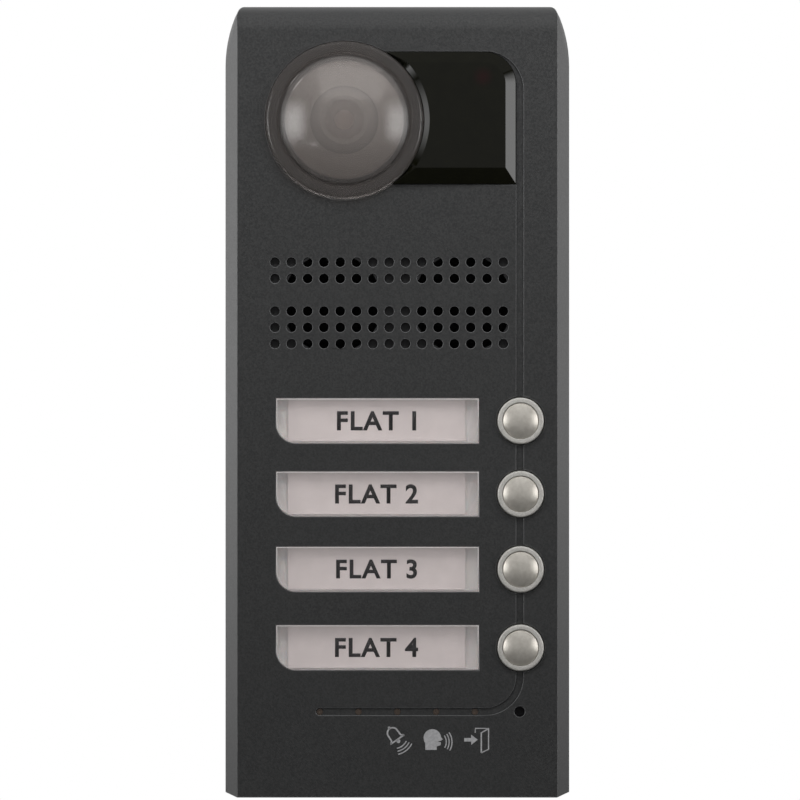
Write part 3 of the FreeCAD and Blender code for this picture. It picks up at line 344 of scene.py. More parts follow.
# %% The common recipe
def finish(name, dark, light, cloud, rough, grain=0.0, bump=0.0, metal=0.0, **sockets):
    """Material whose colour runs from dark to light by a noise cloud metres across, whose roughness
    runs over the pair rough by the same noise, and whose bump is bump metres deep on a noise grain
    metres across. Every other socket is a constant of the shader."""
    material, tree, shader = shader_material(name)
    place = (add_node(tree, "TexCoord"), "Object")
    clouds = add_node(tree, "TexNoise", place, Scale=1 / cloud, Detail=3)
    tones = add_node(tree, "ValToRGB", clouds)
    for element, position, tone in zip(tones.color_ramp.elements, (0.35, 0.65), (dark, light)):
        element.position = position
        element.color = (*tone, 1)
    fill(tree, shader.inputs["Base Color"], tones)
    fill(tree, shader.inputs["Roughness"], add_node(tree, "MapRange", clouds, 0.3, 0.7, *rough))
    if bump:
        grains = add_node(tree, "TexNoise", place, Scale=1 / grain, Detail=2)
        relief = add_node(tree, "Bump", Strength=1.0, Distance=bump, Height=grains)
        fill(tree, shader.inputs["Normal"], relief)
    shader.inputs["Metallic"].default_value = metal
    for socket, value in sockets.items():
        shader.inputs[socket.replace("_", " ")].default_value = value
    return material


FINISHES = {}
print("recipe ready")

# %% [markdown]
# ### Paint of the housing
# The housing is zinc casting under anthracite powder coat with a fine texture: up close it is a field
# of shallow bumps a third of a millimetre apart, each with its own glint. The tone is speckled at the
# same size, which is why the dark face never looks flat. On rounded edges the coat pulls thin and
# smooth, so those have a finish of their own: glossier, and painted lighter as a highlight along the rims.

# %% Housing paint
def powder_coat(name):
    """Anthracite: a speckle and a slow drift of tone, over two sizes of bump."""
    material = finish(
        name, (0.0268, 0.0273, 0.0278), (0.0415, 0.042, 0.042), 0.55 * MM, (0.42, 0.56), 0.42 * MM, 0.045 * MM
    )
    tree = material.node_tree
    fine = add_node(tree, "TexNoise", (node_of(tree, "TEX_COORD"), "Object"), Scale=1 / (0.16 * MM))
    second = add_node(tree, "Bump", Distance=0.008 * MM, Height=fine, Normal=node_of(tree, "BUMP"))
    fill(tree, tree.nodes["Principled BSDF"].inputs["Normal"], second)
    return material


FINISHES["cover_paint"] = powder_coat("cover_paint")
# Edge paint: glossier than the face, and painted lighter as a highlight along the rounded rims.
FINISHES["edge_paint_highlight"] = finish(
    "edge_paint_highlight", (0.085, 0.086, 0.088), (0.110, 0.111, 0.113), 0.5 * MM, (0.26, 0.36), 0.3 * MM, 0.01 * MM
)
print("paint:", len(FINISHES["cover_paint"].node_tree.nodes), "nodes")

# %% [markdown]
# ### Clear and smoked plastics
# A solid glass shader alone would keep lamp light out of what lies behind it, because light through
# glass is slow to find. So for shadow rays the plastic turns into a plain tinted filter. The dome is
# smoked polycarbonate, with a grey-brown haze that hides the works inside. Its flange is pressed
# against the housing and looks clearer, so the haze drops where the dome meets the flange.

# %% Clear plastics
def clear_plastic(name, tint, filter_tint, rough, haze):
    """Clear plastic: a transmitting shader with a share of haze, and a tinted filter for shadow rays."""
    material = finish(name, tint, tint, 6 * MM, rough)
    tree = material.node_tree
    shader = tree.nodes["Principled BSDF"]
    shader.inputs["Transmission Weight"].default_value = 1 - haze
    shader.inputs["IOR"].default_value = 1.49
    shadow_filter = add_node(tree, "BsdfTransparent", Color=(*filter_tint, 1))
    in_shadow = (add_node(tree, "LightPath"), "Is Shadow Ray")
    mix = add_node(tree, "MixShader", in_shadow, shader, shadow_filter)
    fill(tree, node_of(tree, "OUTPUT_MATERIAL").inputs["Surface"], mix)
    return material


def clear_from(material, centre, inside, outside, reach_low, reach_high):
    """Transmission that rises from inside to outside where the distance from the axis at centre,
    sqrt((x - cx)^2 + (z - cz)^2), passes from reach_low to reach_high."""
    tree = material.node_tree
    place = (node_of(tree, "TEX_COORD"), "Object")
    to_axis = (-centre[0], 0, -centre[1])
    spot = add_node(tree, "VectorMath", place, (1, 0, 1), to_axis, operation="MULTIPLY_ADD")
    reach = (add_node(tree, "VectorMath", spot, operation="LENGTH"), "Value")
    clearness = add_node(tree, "MapRange", reach, reach_low, reach_high, inside, outside)
    fill(tree, tree.nodes["Principled BSDF"].inputs["Transmission Weight"], clearness)


DOME_REACH = 20.2
CLEAR_PLASTICS = {
    # name: tint, tint of its shadow, roughness, haze
    "smoked_clear": ((0.48, 0.45, 0.435), (0.58, 0.55, 0.53), (0.09, 0.13), 0.17),
    "label_clear": ((0.93, 0.93, 0.92), (0.93, 0.93, 0.92), (0.03, 0.06), 0.0),
    "frosted_rim": ((0.78, 0.75, 0.74), (0.9, 0.9, 0.9), (0.35, 0.45), 0.55),
    "light_guide_clear": ((0.20, 0.15, 0.12), (0.5, 0.45, 0.4), (0.25, 0.35), 0.30),
    "lens_glass": ((0.62, 0.52, 0.47), (0.9, 0.9, 0.95), (0.05, 0.08), 0.3),
}
for name, row in CLEAR_PLASTICS.items():
    FINISHES[name] = clear_plastic(name, *row)
clear_from(FINISHES["smoked_clear"], EYE, 0.83, 0.955, (DOME_REACH - 0.6) * MM, (DOME_REACH + 0.2) * MM)
print("clear plastics:", list(CLEAR_PLASTICS))

# %% [markdown]
# ### Reader cover
# The reader's cover is black acrylic, moulded clear and smoked almost to opacity. It is the glossiest
# surface of the panel, so its bevels mirror the softboxes. A small red lamp lies deep behind its upper
# right corner, and its faint glow through the plastic is painted into the cover's colour.

# %% Reader gloss
LAMP_ROUND = 4 * MM


def reader_gloss(name):
    """Gloss black with a painted dim red glow of radius LAMP_ROUND round the lamp behind it."""
    material = finish(
        name, (0.0028, 0.0028, 0.0010), (0.0036, 0.0036, 0.0014), 4 * MM, (0.05, 0.08), IOR=1.5
    )
    tree = material.node_tree
    low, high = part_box("reader_window")
    lamp = (high.x - 10.4 * MM, low.y, high.z - 7.9 * MM)
    place = (node_of(tree, "TEX_COORD"), "Object")
    gap = (add_node(tree, "VectorMath", place, lamp, operation="DISTANCE"), "Value")
    # Painted glow: the base colour turns dim red within LAMP_ROUND of the lamp.
    near = add_node(tree, "MapRange", gap, LAMP_ROUND, 0, smoothstep=True)
    blend = add_node(tree, "Mix", Factor=near)
    blend.data_type = "RGBA"
    fill(tree, blend.inputs["A"], node_of(tree, "VALTORGB"))
    fill(tree, blend.inputs["B"], (0.010, 0.0022, 0.002, 1))
    fill(tree, tree.nodes["Principled BSDF"].inputs["Base Color"], (blend, "Result"))
    return material


FINISHES["reader_gloss"] = reader_gloss("reader_gloss")
print("reader gloss ready")

# %% [markdown]
# ### Metals, papers, rubbers, boards and inks
# The call buttons are die-cast, bead-blasted and nickel plated: satin, warm and evenly lit. The plate
# behind is zinc-plated steel. The rest are moulding grades, lacquers, inks and papers that differ in
# tone and grain, so they are rows of one table. The name cards and their diffuser glow a little: a
# painted glow, an emission in their finish that stands in for light from small lamps behind them.

# %% The other finishes
RECIPES = {
    # name: dark tone, light tone, cloud in mm, roughness, grain in mm, bump in mm, metal share
    "button_nickel": ((0.62, 0.585, 0.525), (0.69, 0.655, 0.595), 1.2, (0.30, 0.38), 0.22, 0.005, 0.5),
    "ring_nickel": ((0.58, 0.565, 0.53), (0.69, 0.675, 0.635), 0.5, (0.38, 0.48), 0.25, 0.012, 0.35),
    "baffle_grey": ((0.085, 0.085, 0.088), (0.10, 0.10, 0.103), 2, (0.55, 0.7), 0.3, 0.02, 0),
    "shroud_grey": ((0.22, 0.215, 0.205), (0.26, 0.25, 0.24), 2, (0.5, 0.65), 0.25, 0.015, 0),
    "frame_black": ((0.020, 0.020, 0.021), (0.030, 0.030, 0.031), 3, (0.45, 0.6), 0.3, 0.015, 0),
    "lens_black": ((0.15, 0.135, 0.125), (0.18, 0.165, 0.155), 2, (0.3, 0.42), 0.2, 0.006, 0),
    "lamp_body": ((0.78, 0.74, 0.60), (0.84, 0.80, 0.66), 1, (0.25, 0.4), 0.2, 0.005, 0),
    "seal_rubber": ((0.016, 0.016, 0.016), (0.026, 0.026, 0.026), 3, (0.6, 0.8), 0.3, 0.03, 0),
    "foam_black": ((0.012, 0.012, 0.013), (0.034, 0.034, 0.036), 0.7, (0.85, 0.98), 0.45, 0.18, 0),
    "screw_steel": ((0.36, 0.36, 0.37), (0.46, 0.46, 0.47), 0.8, (0.28, 0.4), 0.15, 0.004, 0.9),
    "spring_steel": ((0.52, 0.52, 0.53), (0.62, 0.62, 0.63), 0.6, (0.22, 0.35), 0.1, 0.003, 1.0),
    "chip_black": ((0.014, 0.014, 0.015), (0.022, 0.022, 0.023), 1, (0.5, 0.65), 0.12, 0.01, 0),
    "relay_blue": ((0.015, 0.075, 0.27), (0.02, 0.095, 0.33), 3, (0.35, 0.5), 0.3, 0.01, 0),
    "terminal_green": ((0.015, 0.19, 0.07), (0.02, 0.23, 0.09), 3, (0.4, 0.55), 0.3, 0.01, 0),
    "speaker_steel": ((0.30, 0.30, 0.31), (0.40, 0.40, 0.41), 2, (0.35, 0.5), 0.3, 0.006, 0.9),
    "magnet_grey": ((0.07, 0.07, 0.075), (0.11, 0.11, 0.115), 1, (0.5, 0.65), 0.2, 0.01, 0.5),
    "cone_paper": ((0.010, 0.010, 0.011), (0.020, 0.020, 0.021), 1, (0.7, 0.85), 0.25, 0.03, 0),
    "board_green": ((0.006, 0.07, 0.03), (0.009, 0.09, 0.04), 8, (0.28, 0.4), 0.4, 0.004, 0),
    "track_green": ((0.016, 0.15, 0.07), (0.022, 0.18, 0.085), 6, (0.25, 0.35), 0.4, 0.004, 0),
    "ink_black": ((0.008, 0.006, 0.008), (0.014, 0.011, 0.013), 0.8, (0.5, 0.7), 0.12, 0.002, 0),
    "print_silver": ((0.42, 0.42, 0.43), (0.52, 0.52, 0.53), 0.7, (0.45, 0.6), 0.2, 0.006, 0.2),
}
for name, (dark, light, cloud, rough, grain, bump, metal) in RECIPES.items():
    FINISHES[name] = finish(name, dark, light, cloud * MM, rough, grain * MM, bump * MM, metal)
# Painted glow: the card's emission stands in for light from lamps behind it.
FINISHES["card_paper"] = finish(
    "card_paper", (0.40, 0.356, 0.356), (0.44, 0.392, 0.392), 5 * MM, (0.75, 0.9), 0.15 * MM, 0.01 * MM,
    Emission_Color=(1.0, 0.89, 0.89, 1.0), Emission_Strength=0.2
)
# Painted glow: the diffuser's emission stands in for light from lamps behind it.
FINISHES["diffuser_white"] = finish(
    "diffuser_white", (0.46, 0.43, 0.43), (0.50, 0.47, 0.465), 4 * MM, (0.45, 0.6), 0.5 * MM, 0.01 * MM,
    Subsurface_Weight=0.2, Subsurface_Scale=0.001, Emission_Color=(1.0, 0.92, 0.92, 1.0),
    Emission_Strength=0.14
)
print("finishes so far:", len(FINISHES))

# %% [markdown]
# ### Zinc-plated sheet
# Hot-dipped zinc freezes in flat crystals, so its tone and gloss change from spangle to spangle: that
# is what a cell texture gives.

# %% Zinc
def zinc_plate(name):
    """Steel grey whose tone and roughness jump from one crystal of about 4 mm to the next."""
    material = finish(
        name, (0.36, 0.37, 0.38), (0.52, 0.53, 0.545), 4 * MM, (0.28, 0.46), 0.5 * MM, 0.006 * MM, 0.95
    )
    tree = material.node_tree
    spangle = add_node(tree, "TexVoronoi", (node_of(tree, "TEX_COORD"), "Object"), Scale=1 / (4 * MM))
    tone = add_node(tree, "SeparateColor", (spangle, "Color"))
    fill(tree, node_of(tree, "VALTORGB").inputs[0], tone)
    fill(tree, node_of(tree, "MAP_RANGE").inputs["Value"], (tone, 1))
    return material


FINISHES["plate_zinc"] = zinc_plate("plate_zinc")
print("finishes:", sorted(FINISHES))

# %% [markdown]
# ### Give every CAD part its finish
# The record says which finish each part takes, so one loop dresses the whole frame.

# %% Dress the CAD parts
def slot_name(node):
    """Finish of a CAD part: the name of the material that came with it from the record."""
    return CAD[node].material_slots[0].material.name.split(".")[0]


def dress(piece, slot, body, *nodes):
    """Finish, slot, body and replaced CAD parts of a new piece."""
    piece.data.materials.clear()
    piece.data.materials.append(FINISHES[slot])
    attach(piece, body)
    if nodes:
        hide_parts(*nodes)
    return piece


for node, part in CAD.items():
    for holder in part.material_slots:
        holder.material = FINISHES[slot_name(node)]
print("dressed", len(CAD), "parts")

# %% [markdown]
# ## The housing
# A casting has no knife edges: every rim is rounded by the mould, and the paint rounds it more. The
# thin bright line that rim catches is what tells metal from cardboard. The CAD shell is exact but
# sharp, so the piece starts as a copy of it: its loose triangles are joined, flat areas are cleared of
# their inner edges, and a narrow bevel runs along every edge sharper than the given angle.

# %% Rounded copies of CAD parts
def edge_turns(mesh):
    """Angle between the two faces at each edge of a closed mesh: arc cosine of their normals' dot product."""
    edge_of_corner = np.zeros(len(mesh.loops), int)
    mesh.loops.foreach_get("edge_index", edge_of_corner)
    corners = np.zeros(len(mesh.polygons), int)
    mesh.polygons.foreach_get("loop_total", corners)
    normals = np.zeros(len(mesh.polygons) * 3)
    mesh.polygons.foreach_get("normal", normals)
    normals = normals.reshape(-1, 3)
    face_of_corner = np.repeat(np.arange(len(mesh.polygons)), corners)
    order = np.argsort(edge_of_corner, kind="stable")
    pairs = np.searchsorted(edge_of_corner[order], np.arange(len(mesh.edges)))
    first = face_of_corner[order[pairs]]
    second = face_of_corner[order[np.minimum(pairs + 1, len(order) - 1)]]
    return np.arccos(np.clip((normals[first] * normals[second]).sum(axis=1), -1, 1))


def edge_middles(mesh):
    """Middle of each edge, (n, 3)."""
    ends = np.zeros(len(mesh.edges) * 2, int)
    mesh.edges.foreach_get("vertices", ends)
    return points_of(mesh)[ends.reshape(-1, 2)].mean(axis=1)


def rounded_copy(node, name, width, sharper_than=34, segments=2, where=None):
    """Copy of a CAD mesh with its doubles merged, its flat faces dissolved and its edges bevelled.
    where takes the middles of the edges and gives each its share of the bevel's width."""
    mesh = CAD[node].data.copy()
    mesh.name = name
    shape = bmesh.new()
    shape.from_mesh(mesh)
    bmesh.ops.remove_doubles(shape, verts=shape.verts, dist=1.5e-6)
    bmesh.ops.dissolve_limit(
        shape, angle_limit=math.radians(0.4), verts=shape.verts[:], edges=shape.edges[:]
    )
    bmesh.ops.recalc_face_normals(shape, faces=shape.faces)
    shape.to_mesh(mesh)
    shape.free()
    if mesh.has_custom_normals:
        mesh.normals_split_custom_set([(0, 0, 0)] * len(mesh.loops))
    chosen = (edge_turns(mesh) > math.radians(sharper_than)).astype(float)
    if where is not None:
        chosen *= where(edge_middles(mesh))
    weights = mesh.attributes.new("bevel_weight_edge", "FLOAT", "EDGE")
    weights.data.foreach_set("value", chosen.astype(np.float32))
    piece = bpy.data.objects.new(name, mesh)
    bpy.context.scene.collection.objects.link(piece)
    piece.data.polygons.foreach_set("use_smooth", np.ones(len(mesh.polygons), bool))
    bevel = piece.modifiers.new("rounded_edges", "BEVEL")
    bevel.width = width
    bevel.segments = segments
    bevel.limit_method = "WEIGHT"
    bevel.use_clamp_overlap = False
    bevel.miter_outer = "MITER_ARC"
    level = piece.modifiers.new("even_shading", "WEIGHTED_NORMAL")
    level.keep_sharp = True
    level.weight = 100
    return piece


FACE_HALF = 50.6 * MM
TOP_ROLL = 8 * MM


def housing_rims(spots):
    """Edges on the face, and on the outside of the shell: within a millimetre of its flared sides, its
    foot, its back rim and its rolled top. Edges down inside the seats and the groove stay crisp."""
    x, out, z = spots[:, 0], -spots[:, 1], spots[:, 2]
    low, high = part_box("front_cover")
    side = np.abs(x) > high.x - (high.x - FACE_HALF) * out / FACE - 1 * MM
    on_roll = np.hypot(out - (FACE - TOP_ROLL), z - (high.z - TOP_ROLL)) > TOP_ROLL - 1 * MM
    top = (z > high.z - TOP_ROLL) & on_roll
    return (out > FACE - 0.05 * MM) | side | top | (z < low.z + 0.1 * MM) | (out < 0.05 * MM)


def edge_finish(piece, name):
    """Gives the rounded edges of a copy a finish of their own."""
    piece.data.materials.append(FINISHES[name])
    piece.modifiers["rounded_edges"].material = 1


housing_shell = rounded_copy("front_cover", "housing_shell", 0.2 * MM, 34, 2, housing_rims)
dress(housing_shell, "cover_paint", "housing", "front_cover")
# Painted highlight: the rounded rims of the housing take the lighter edge paint.
edge_finish(housing_shell, "edge_paint_highlight")
print("housing shell:", len(housing_shell.data.polygons), "faces before its edges are rounded")

# %% [markdown]
# ## Turned pieces
# The dome, the call buttons and the grommet are bodies of revolution: one profile carried round an
# axis. The profile is written as corners, each with its own rounding, as on a turner's drawing.

# %% Turned surfaces
def rounded_profile(corners, steps=7):
    """Profile through corners (radius, out, rounding) in millimetres. A rounded corner C is replaced
    by the quadratic curve (1-t)^2 A + 2t(1-t) C + t^2 B, where A and B lie on its two sides, the
    rounding away from C."""
    places = np.array([corner[:2] for corner in corners], float)
    t = np.linspace(0, 1, steps)[:, None]
    line = []
    for number, corner in enumerate(corners):
        here = places[number]
        if corner[2] == 0:
            line.append(here[None])
            continue
        before, after = places[number - 1] - here, places[(number + 1) % len(places)] - here
        start = here + before / np.linalg.norm(before) * corner[2]
        end = here + after / np.linalg.norm(after) * corner[2]
        line.append((1 - t) ** 2 * start + 2 * t * (1 - t) * here + t**2 * end)
    return np.concatenate(line) * MM


def crown_arc(crown, reach, radius, steps=24):
    """Corners down a spherical crown: out = crown - (R - sqrt(R^2 - r^2)) for r from 0 to reach."""
    r = reach * np.sin(np.linspace(0, math.pi / 2, steps))
    out = crown - (radius - np.sqrt(radius**2 - r**2))
    return [(a, b, 0) for a, b in zip(r, out)]


def turned(name, profile, centre, turns=144):
    """Surface of revolution: the point at angle a of profile place (r, out) is
    (x + r cos a, -out, z + r sin a). The profile closes on itself; points on the axis are poles."""
    a = np.linspace(0, 2 * math.pi, turns, endpoint=False)
    r, out = profile[:, 0], profile[:, 1]
    x = centre[0] + r[:, None] * np.cos(a)
    z = centre[1] + r[:, None] * np.sin(a)
    y = np.broadcast_to(-out[:, None], x.shape)
    points = np.stack([x, y, z], axis=-1).reshape(-1, 3)
    on_axis = profile[0, 0] == 0 and profile[-1, 0] == 0
    faces = grid_faces(len(profile), turns, closed_rows=not on_axis, closed_columns=True)
    piece = mesh_piece(name, points, faces)
    return smooth(piece, 50)


print("a crown is drawn with", len(crown_arc(27.6, 5, 10.5)), "points")

# %% [markdown]
# ### Camera dome
# One smoked moulding: a dome that bulges out of a flat flange, a shallow ring groove where the two
# meet, and a spigot that passes through the housing to the retaining ring. Both skins of the dome are
# modelled, because the inner one gives the second, fainter pair of reflections.

# %% Camera dome
dome_front = front_of("camera_dome") / MM
flange_reach = (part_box("camera_dome")[1].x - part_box("camera_dome")[0].x) / 2 / MM
flange_front = FACE / MM + 2.6
DOME_SKIN = 1.8
dome_rise = dome_front - flange_front
dome_radius = (DOME_REACH**2 + dome_rise**2) / (2 * dome_rise)
spigot_back = back_of("camera_dome") / MM
bore = DOME_REACH - DOME_SKIN
inner_radius = dome_radius - DOME_SKIN
dome_corners = crown_arc(dome_front, DOME_REACH, dome_radius, 40)
dome_corners += [
    (DOME_REACH, flange_front - 0.9, 0.25),
    (DOME_REACH + 0.9, flange_front - 0.9, 0.3),
    (DOME_REACH + 1.3, flange_front, 0.22),
    (flange_reach, flange_front, 1.7),
    (flange_reach, FACE / MM - 0.5, 0.12),
    (DOME_REACH + 0.3, FACE / MM - 0.5, 0.15),
    (DOME_REACH + 0.3, spigot_back, 0.3),
    (bore, spigot_back, 0.3),
]
dome_corners += crown_arc(dome_front - DOME_SKIN, bore, inner_radius, 40)[::-1]
smoked_dome = turned("smoked_dome", rounded_profile(dome_corners), EYE, 192)
dress(smoked_dome, "smoked_clear", "housing", "camera_dome")
print("dome radius", round(dome_radius, 2), "mm, flange", round(flange_reach, 2), "mm")

# %% [markdown]
# ### Call buttons
# A satin ring is fixed in the housing and a domed cap travels inside it. The ring is well rounded
# outside and crisp inside, and the fine dark line between ring and cap is a real gap. The cap's stem
# reaches the push switch.

# %% Call buttons
CAP_ROUND = 5.65
CROWN_RADIUS = 10.5
RING_GAP = 0.12
RING_ROUND = 7.3


def ring_corners(front):
    """Ring from its rear flange to its front, as a closed profile."""
    lip = FACE / MM - 3.0
    inner = CAP_ROUND + RING_GAP
    outer = RING_ROUND
    return [
        (inner, lip - 0.8, 0.1),
        (inner, front, 0.2),
        (outer, front, 0.6),
        (outer, lip, 0.1),
        (outer + 1.35, lip, 0.2),
        (outer + 1.35, lip - 0.8, 0.2),
    ]


def cap_corners(crown, end):
    """Cap: a crown of CROWN_RADIUS, a rounded edge, a retaining flange, a hollow and the stem."""
    flange = FACE / MM - 4.1
    face = FACE / MM
    reach = CAP_ROUND - 0.2
    edge = crown - (CROWN_RADIUS - math.sqrt(CROWN_RADIUS**2 - CAP_ROUND**2))
    return crown_arc(crown, reach, CROWN_RADIUS, 20) + [
        (CAP_ROUND, edge, 0.15),
        (CAP_ROUND, flange, 0.1),
        (CAP_ROUND + 0.8, flange, 0.2),
        (CAP_ROUND + 0.8, flange - 0.8, 0.2),
        (4.3, flange - 0.8, 0.15),
        (4.3, face, 0.3),
        (1.5, face, 0.3),
        (1.5, end, 0.3),
        (0, end, 0),
    ]


for row in ROWS:
    ring_place = middle_of(f"button_ring_{row}")
    ring_profile = rounded_profile(ring_corners(front_of(f"button_ring_{row}") / MM))
    ring = turned(f"call_ring_{row}", ring_profile, ring_place, 96)
    dress(ring, "button_nickel", "housing", f"button_ring_{row}")
    ring.data.materials[0] = FINISHES["ring_nickel"]
    crown = front_of(f"button_cap_{row}") / MM
    stem_end = back_of(f"button_cap_{row}") / MM
    cap = turned(f"call_cap_{row}", rounded_profile(cap_corners(crown, stem_end)), ring_place, 96)
    dress(cap, "button_nickel", f"button_{row}", f"button_cap_{row}")
print("four rings and four caps; crown", round(crown, 2), "mm out")

# %% [markdown]
# ### Return springs
# Each cap stands on a coil of round wire. It is a tube along a helix, worked out as a grid: one
# direction runs along the wire, the other round it.

# %% Return springs
def coil(name, centre, foot, length, radius, wire, turns, per_turn=36, sides=10):
    """Tube along a helix. At angle a the wire's middle is at radius from the axis and foot + length
    a / (2 pi turns) out; its surface is the wire's radius away, at angle b in the plane of the
    outward and axial directions."""
    a = np.linspace(0, 2 * math.pi * turns, int(per_turn * turns) + 1)[:, None]
    b = np.linspace(0, 2 * math.pi, sides, endpoint=False)[None]
    reach = radius + wire * np.cos(b)
    out = foot + length * a / (2 * math.pi * turns) + wire * np.sin(b)
    x = centre[0] + reach * np.cos(a)
    z = centre[1] + reach * np.sin(a)
    points = np.stack([x, -out, z], axis=-1).reshape(-1, 3)
    rows = a.shape[0]
    faces = [tuple(face) for face in grid_faces(rows, sides, closed_columns=True)]
    faces += [tuple(range(sides)), tuple(range((rows - 1) * sides, rows * sides))]
    return smooth(mesh_piece(name, points, faces), 60)


COIL_ROUND = 2.9 * MM
WIRE_ROUND = 0.22 * MM
COIL_TURNS = 5
for row in ROWS:
    low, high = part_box(f"button_spring_{row}")
    x, z = middle_of(f"button_spring_{row}")
    foot = -high.y + WIRE_ROUND
    length = high.y - low.y - 2 * WIRE_ROUND
    spring = coil(f"return_spring_{row}", (x, z), foot, length, COIL_ROUND, WIRE_ROUND, COIL_TURNS)
    dress(spring, "spring_steel", "housing", f"button_spring_{row}")
    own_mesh(spring)

# %% [markdown]
# ## Reader
# The reader has an outline of its own, so it starts as a CAD copy with moulded edges. Round the camera
# its front ends in a polished cut. A bevel mirrors a softbox only at the right slope: a mirror that
# leans by t throws light aside by 2t, so to send the left softbox to the camera this cut leans by
# about half that softbox's angle. The foot of the CAD bevel is raised to suit, and a thin strip with
# that exact cone lies over the straight part of it, because one clean cone gives one clean highlight.

# %% Reader cover and its polished cut
CUT_SLOPE = 26
CUT_START, CUT_END, CUT_STEPS = -34, 43, 78
CUT_NEAR, CUT_FAR = 25.1, 26.9


def soften_cut(piece, slope):
    """Turns the steep bevel round the camera into a shallow one: the foot of the bevel rises along the
    wall until the bevel leans back from the front by only this slope. rise = front - width * tan(slope)."""
    mesh = piece.data
    spots = points_of(mesh)
    from_eye = np.hypot(spots[:, 0] - EYE[0], spots[:, 2] - EYE[1])
    front = -spots[:, 1].min()
    at_front = np.abs(-spots[:, 1] - front) < 0.02 * MM
    near, far = from_eye.min(), from_eye[at_front].min()
    foot = (from_eye < near + 0.05 * MM) & (-spots[:, 1] > FACE + 0.2 * MM)
    spots[foot, 1] = -(front - (far - near) * math.tan(math.radians(slope)))
    mesh.vertices.foreach_set("co", spots.ravel())
    mesh.update()
    return int(foot.sum())


def cut_strip(name):
    """Closed strip from angle CUT_START to CUT_END round the eye: its four lines lie at the near and
    the far radius, first on top, then a fraction of a millimetre below."""
    angle = np.radians(np.linspace(CUT_START, CUT_END, CUT_STEPS))[:, None]
    reach = np.array([CUT_NEAR, CUT_FAR, CUT_FAR, CUT_NEAR])[None]
    out = FACE / MM + np.array([1.39, 2.225, 2.0, 1.1])[None] + 0 * angle
    x = EYE[0] / MM + reach * np.cos(angle)
    z = EYE[1] / MM + reach * np.sin(angle)
    points = np.stack([x, -out, z], axis=2).reshape(-1, 3)
    ends = np.array([[0, 1, 2, 3], np.arange(4) + 4 * (CUT_STEPS - 1)])
    faces = np.concatenate([grid_faces(CUT_STEPS, 4, closed_columns=True), ends])
    return smooth(mesh_piece(name, points * MM, faces), 30)


reader_cover = rounded_copy("reader_window", "reader_cover", 0.14 * MM, 12, 3)
print("bevel beside the camera:", soften_cut(reader_cover, CUT_SLOPE), "points raised")
dress(reader_cover, "reader_gloss", "housing", "reader_window")
dress(cut_strip("polished_cut"), "reader_gloss", "housing")

# %% [markdown]
# ## Name windows and other moulded parts
# The clear name windows get a wider chamfer on their front rim alone, and that chamfer is frosted by
# the mould: it draws the light line round each label. The rest are plain copies with rounded edges.

# %% Moulded copies
def window_rims(spots):
    """Only the front rim of a name window is chamfered."""
    return -spots[:, 1] > FACE - 0.1 * MM


for row in ROWS:
    window = rounded_copy(f"label_window_{row}", f"name_window_{row}", 0.32 * MM, 40, 2, window_rims)
    dress(window, "label_clear", "housing", f"label_window_{row}")
    edge_finish(window, "frosted_rim")
COPIES = {
    # CAD part: name of its copy, width of its rounding in mm
    "cover_screws": ("security_screws", 0.12),
    "back_plate": ("hook_plate", 0.15),
    "terminal_block": ("cable_terminals", 0.15),
    "door_relay": ("lock_relay", 0.35),
    "board_chips": ("chips_and_capacitors", 0.12),
    "board_screws": ("board_fixings", 0.1),
    "camera_holder": ("eye_holder", 0.15),
    "speaker_baffle": ("sound_baffle", 0.15),
}
for node, (name, width) in COPIES.items():
    dress(rounded_copy(node, name, width * MM, 40, 2), slot_name(node), "housing", node)
print("moulded copies:", len(ROWS) + len(COPIES))

# %% [markdown]
# ### Cable grommet
# A rubber ring buttoned into the back plate. Its lips are soft, so every corner is generously round.

# %% Cable grommet
grommet_low, grommet_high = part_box("cable_grommet")
grommet_reach = (grommet_high.x - grommet_low.x) / 2 / MM
PLATE_BACK = back_of("back_plate") / MM
PLATE_FRONT = PLATE_BACK + 1.5
CABLE_BORE = 6.0
grommet_back = back_of("cable_grommet") / MM
grommet_front = front_of("cable_grommet") / MM
grommet_corners = [
    (CABLE_BORE, grommet_back, 0.5),
    (grommet_reach, grommet_back, 0.7),
    (grommet_reach, PLATE_BACK - 0.1, 0.3),
    (CABLE_BORE + 4.5, PLATE_BACK - 0.1, 0.1),
    (CABLE_BORE + 4.5, PLATE_FRONT + 0.1, 0.1),
    (grommet_reach, PLATE_FRONT + 0.1, 0.3),
    (CABLE_BORE + 2.2, grommet_front, 0.5),
    (CABLE_BORE, grommet_front, 0.5),
]
grommet = turned("rubber_grommet", rounded_profile(grommet_corners), middle_of("cable_grommet"), 96)
dress(grommet, "seal_rubber", "housing", "cable_grommet")
print("grommet", round(grommet_reach * 2, 1), "mm across")

# %% [markdown]
# ## Print
# Each paper card carries a flat number in black capitals, and three symbols are screen-printed in
# silver under the status lights: the bell rings, someone speaks, the door opens. Print is thin but it
# has a thickness, so it is geometry: text turned into a mesh, and bands drawn along short paths.

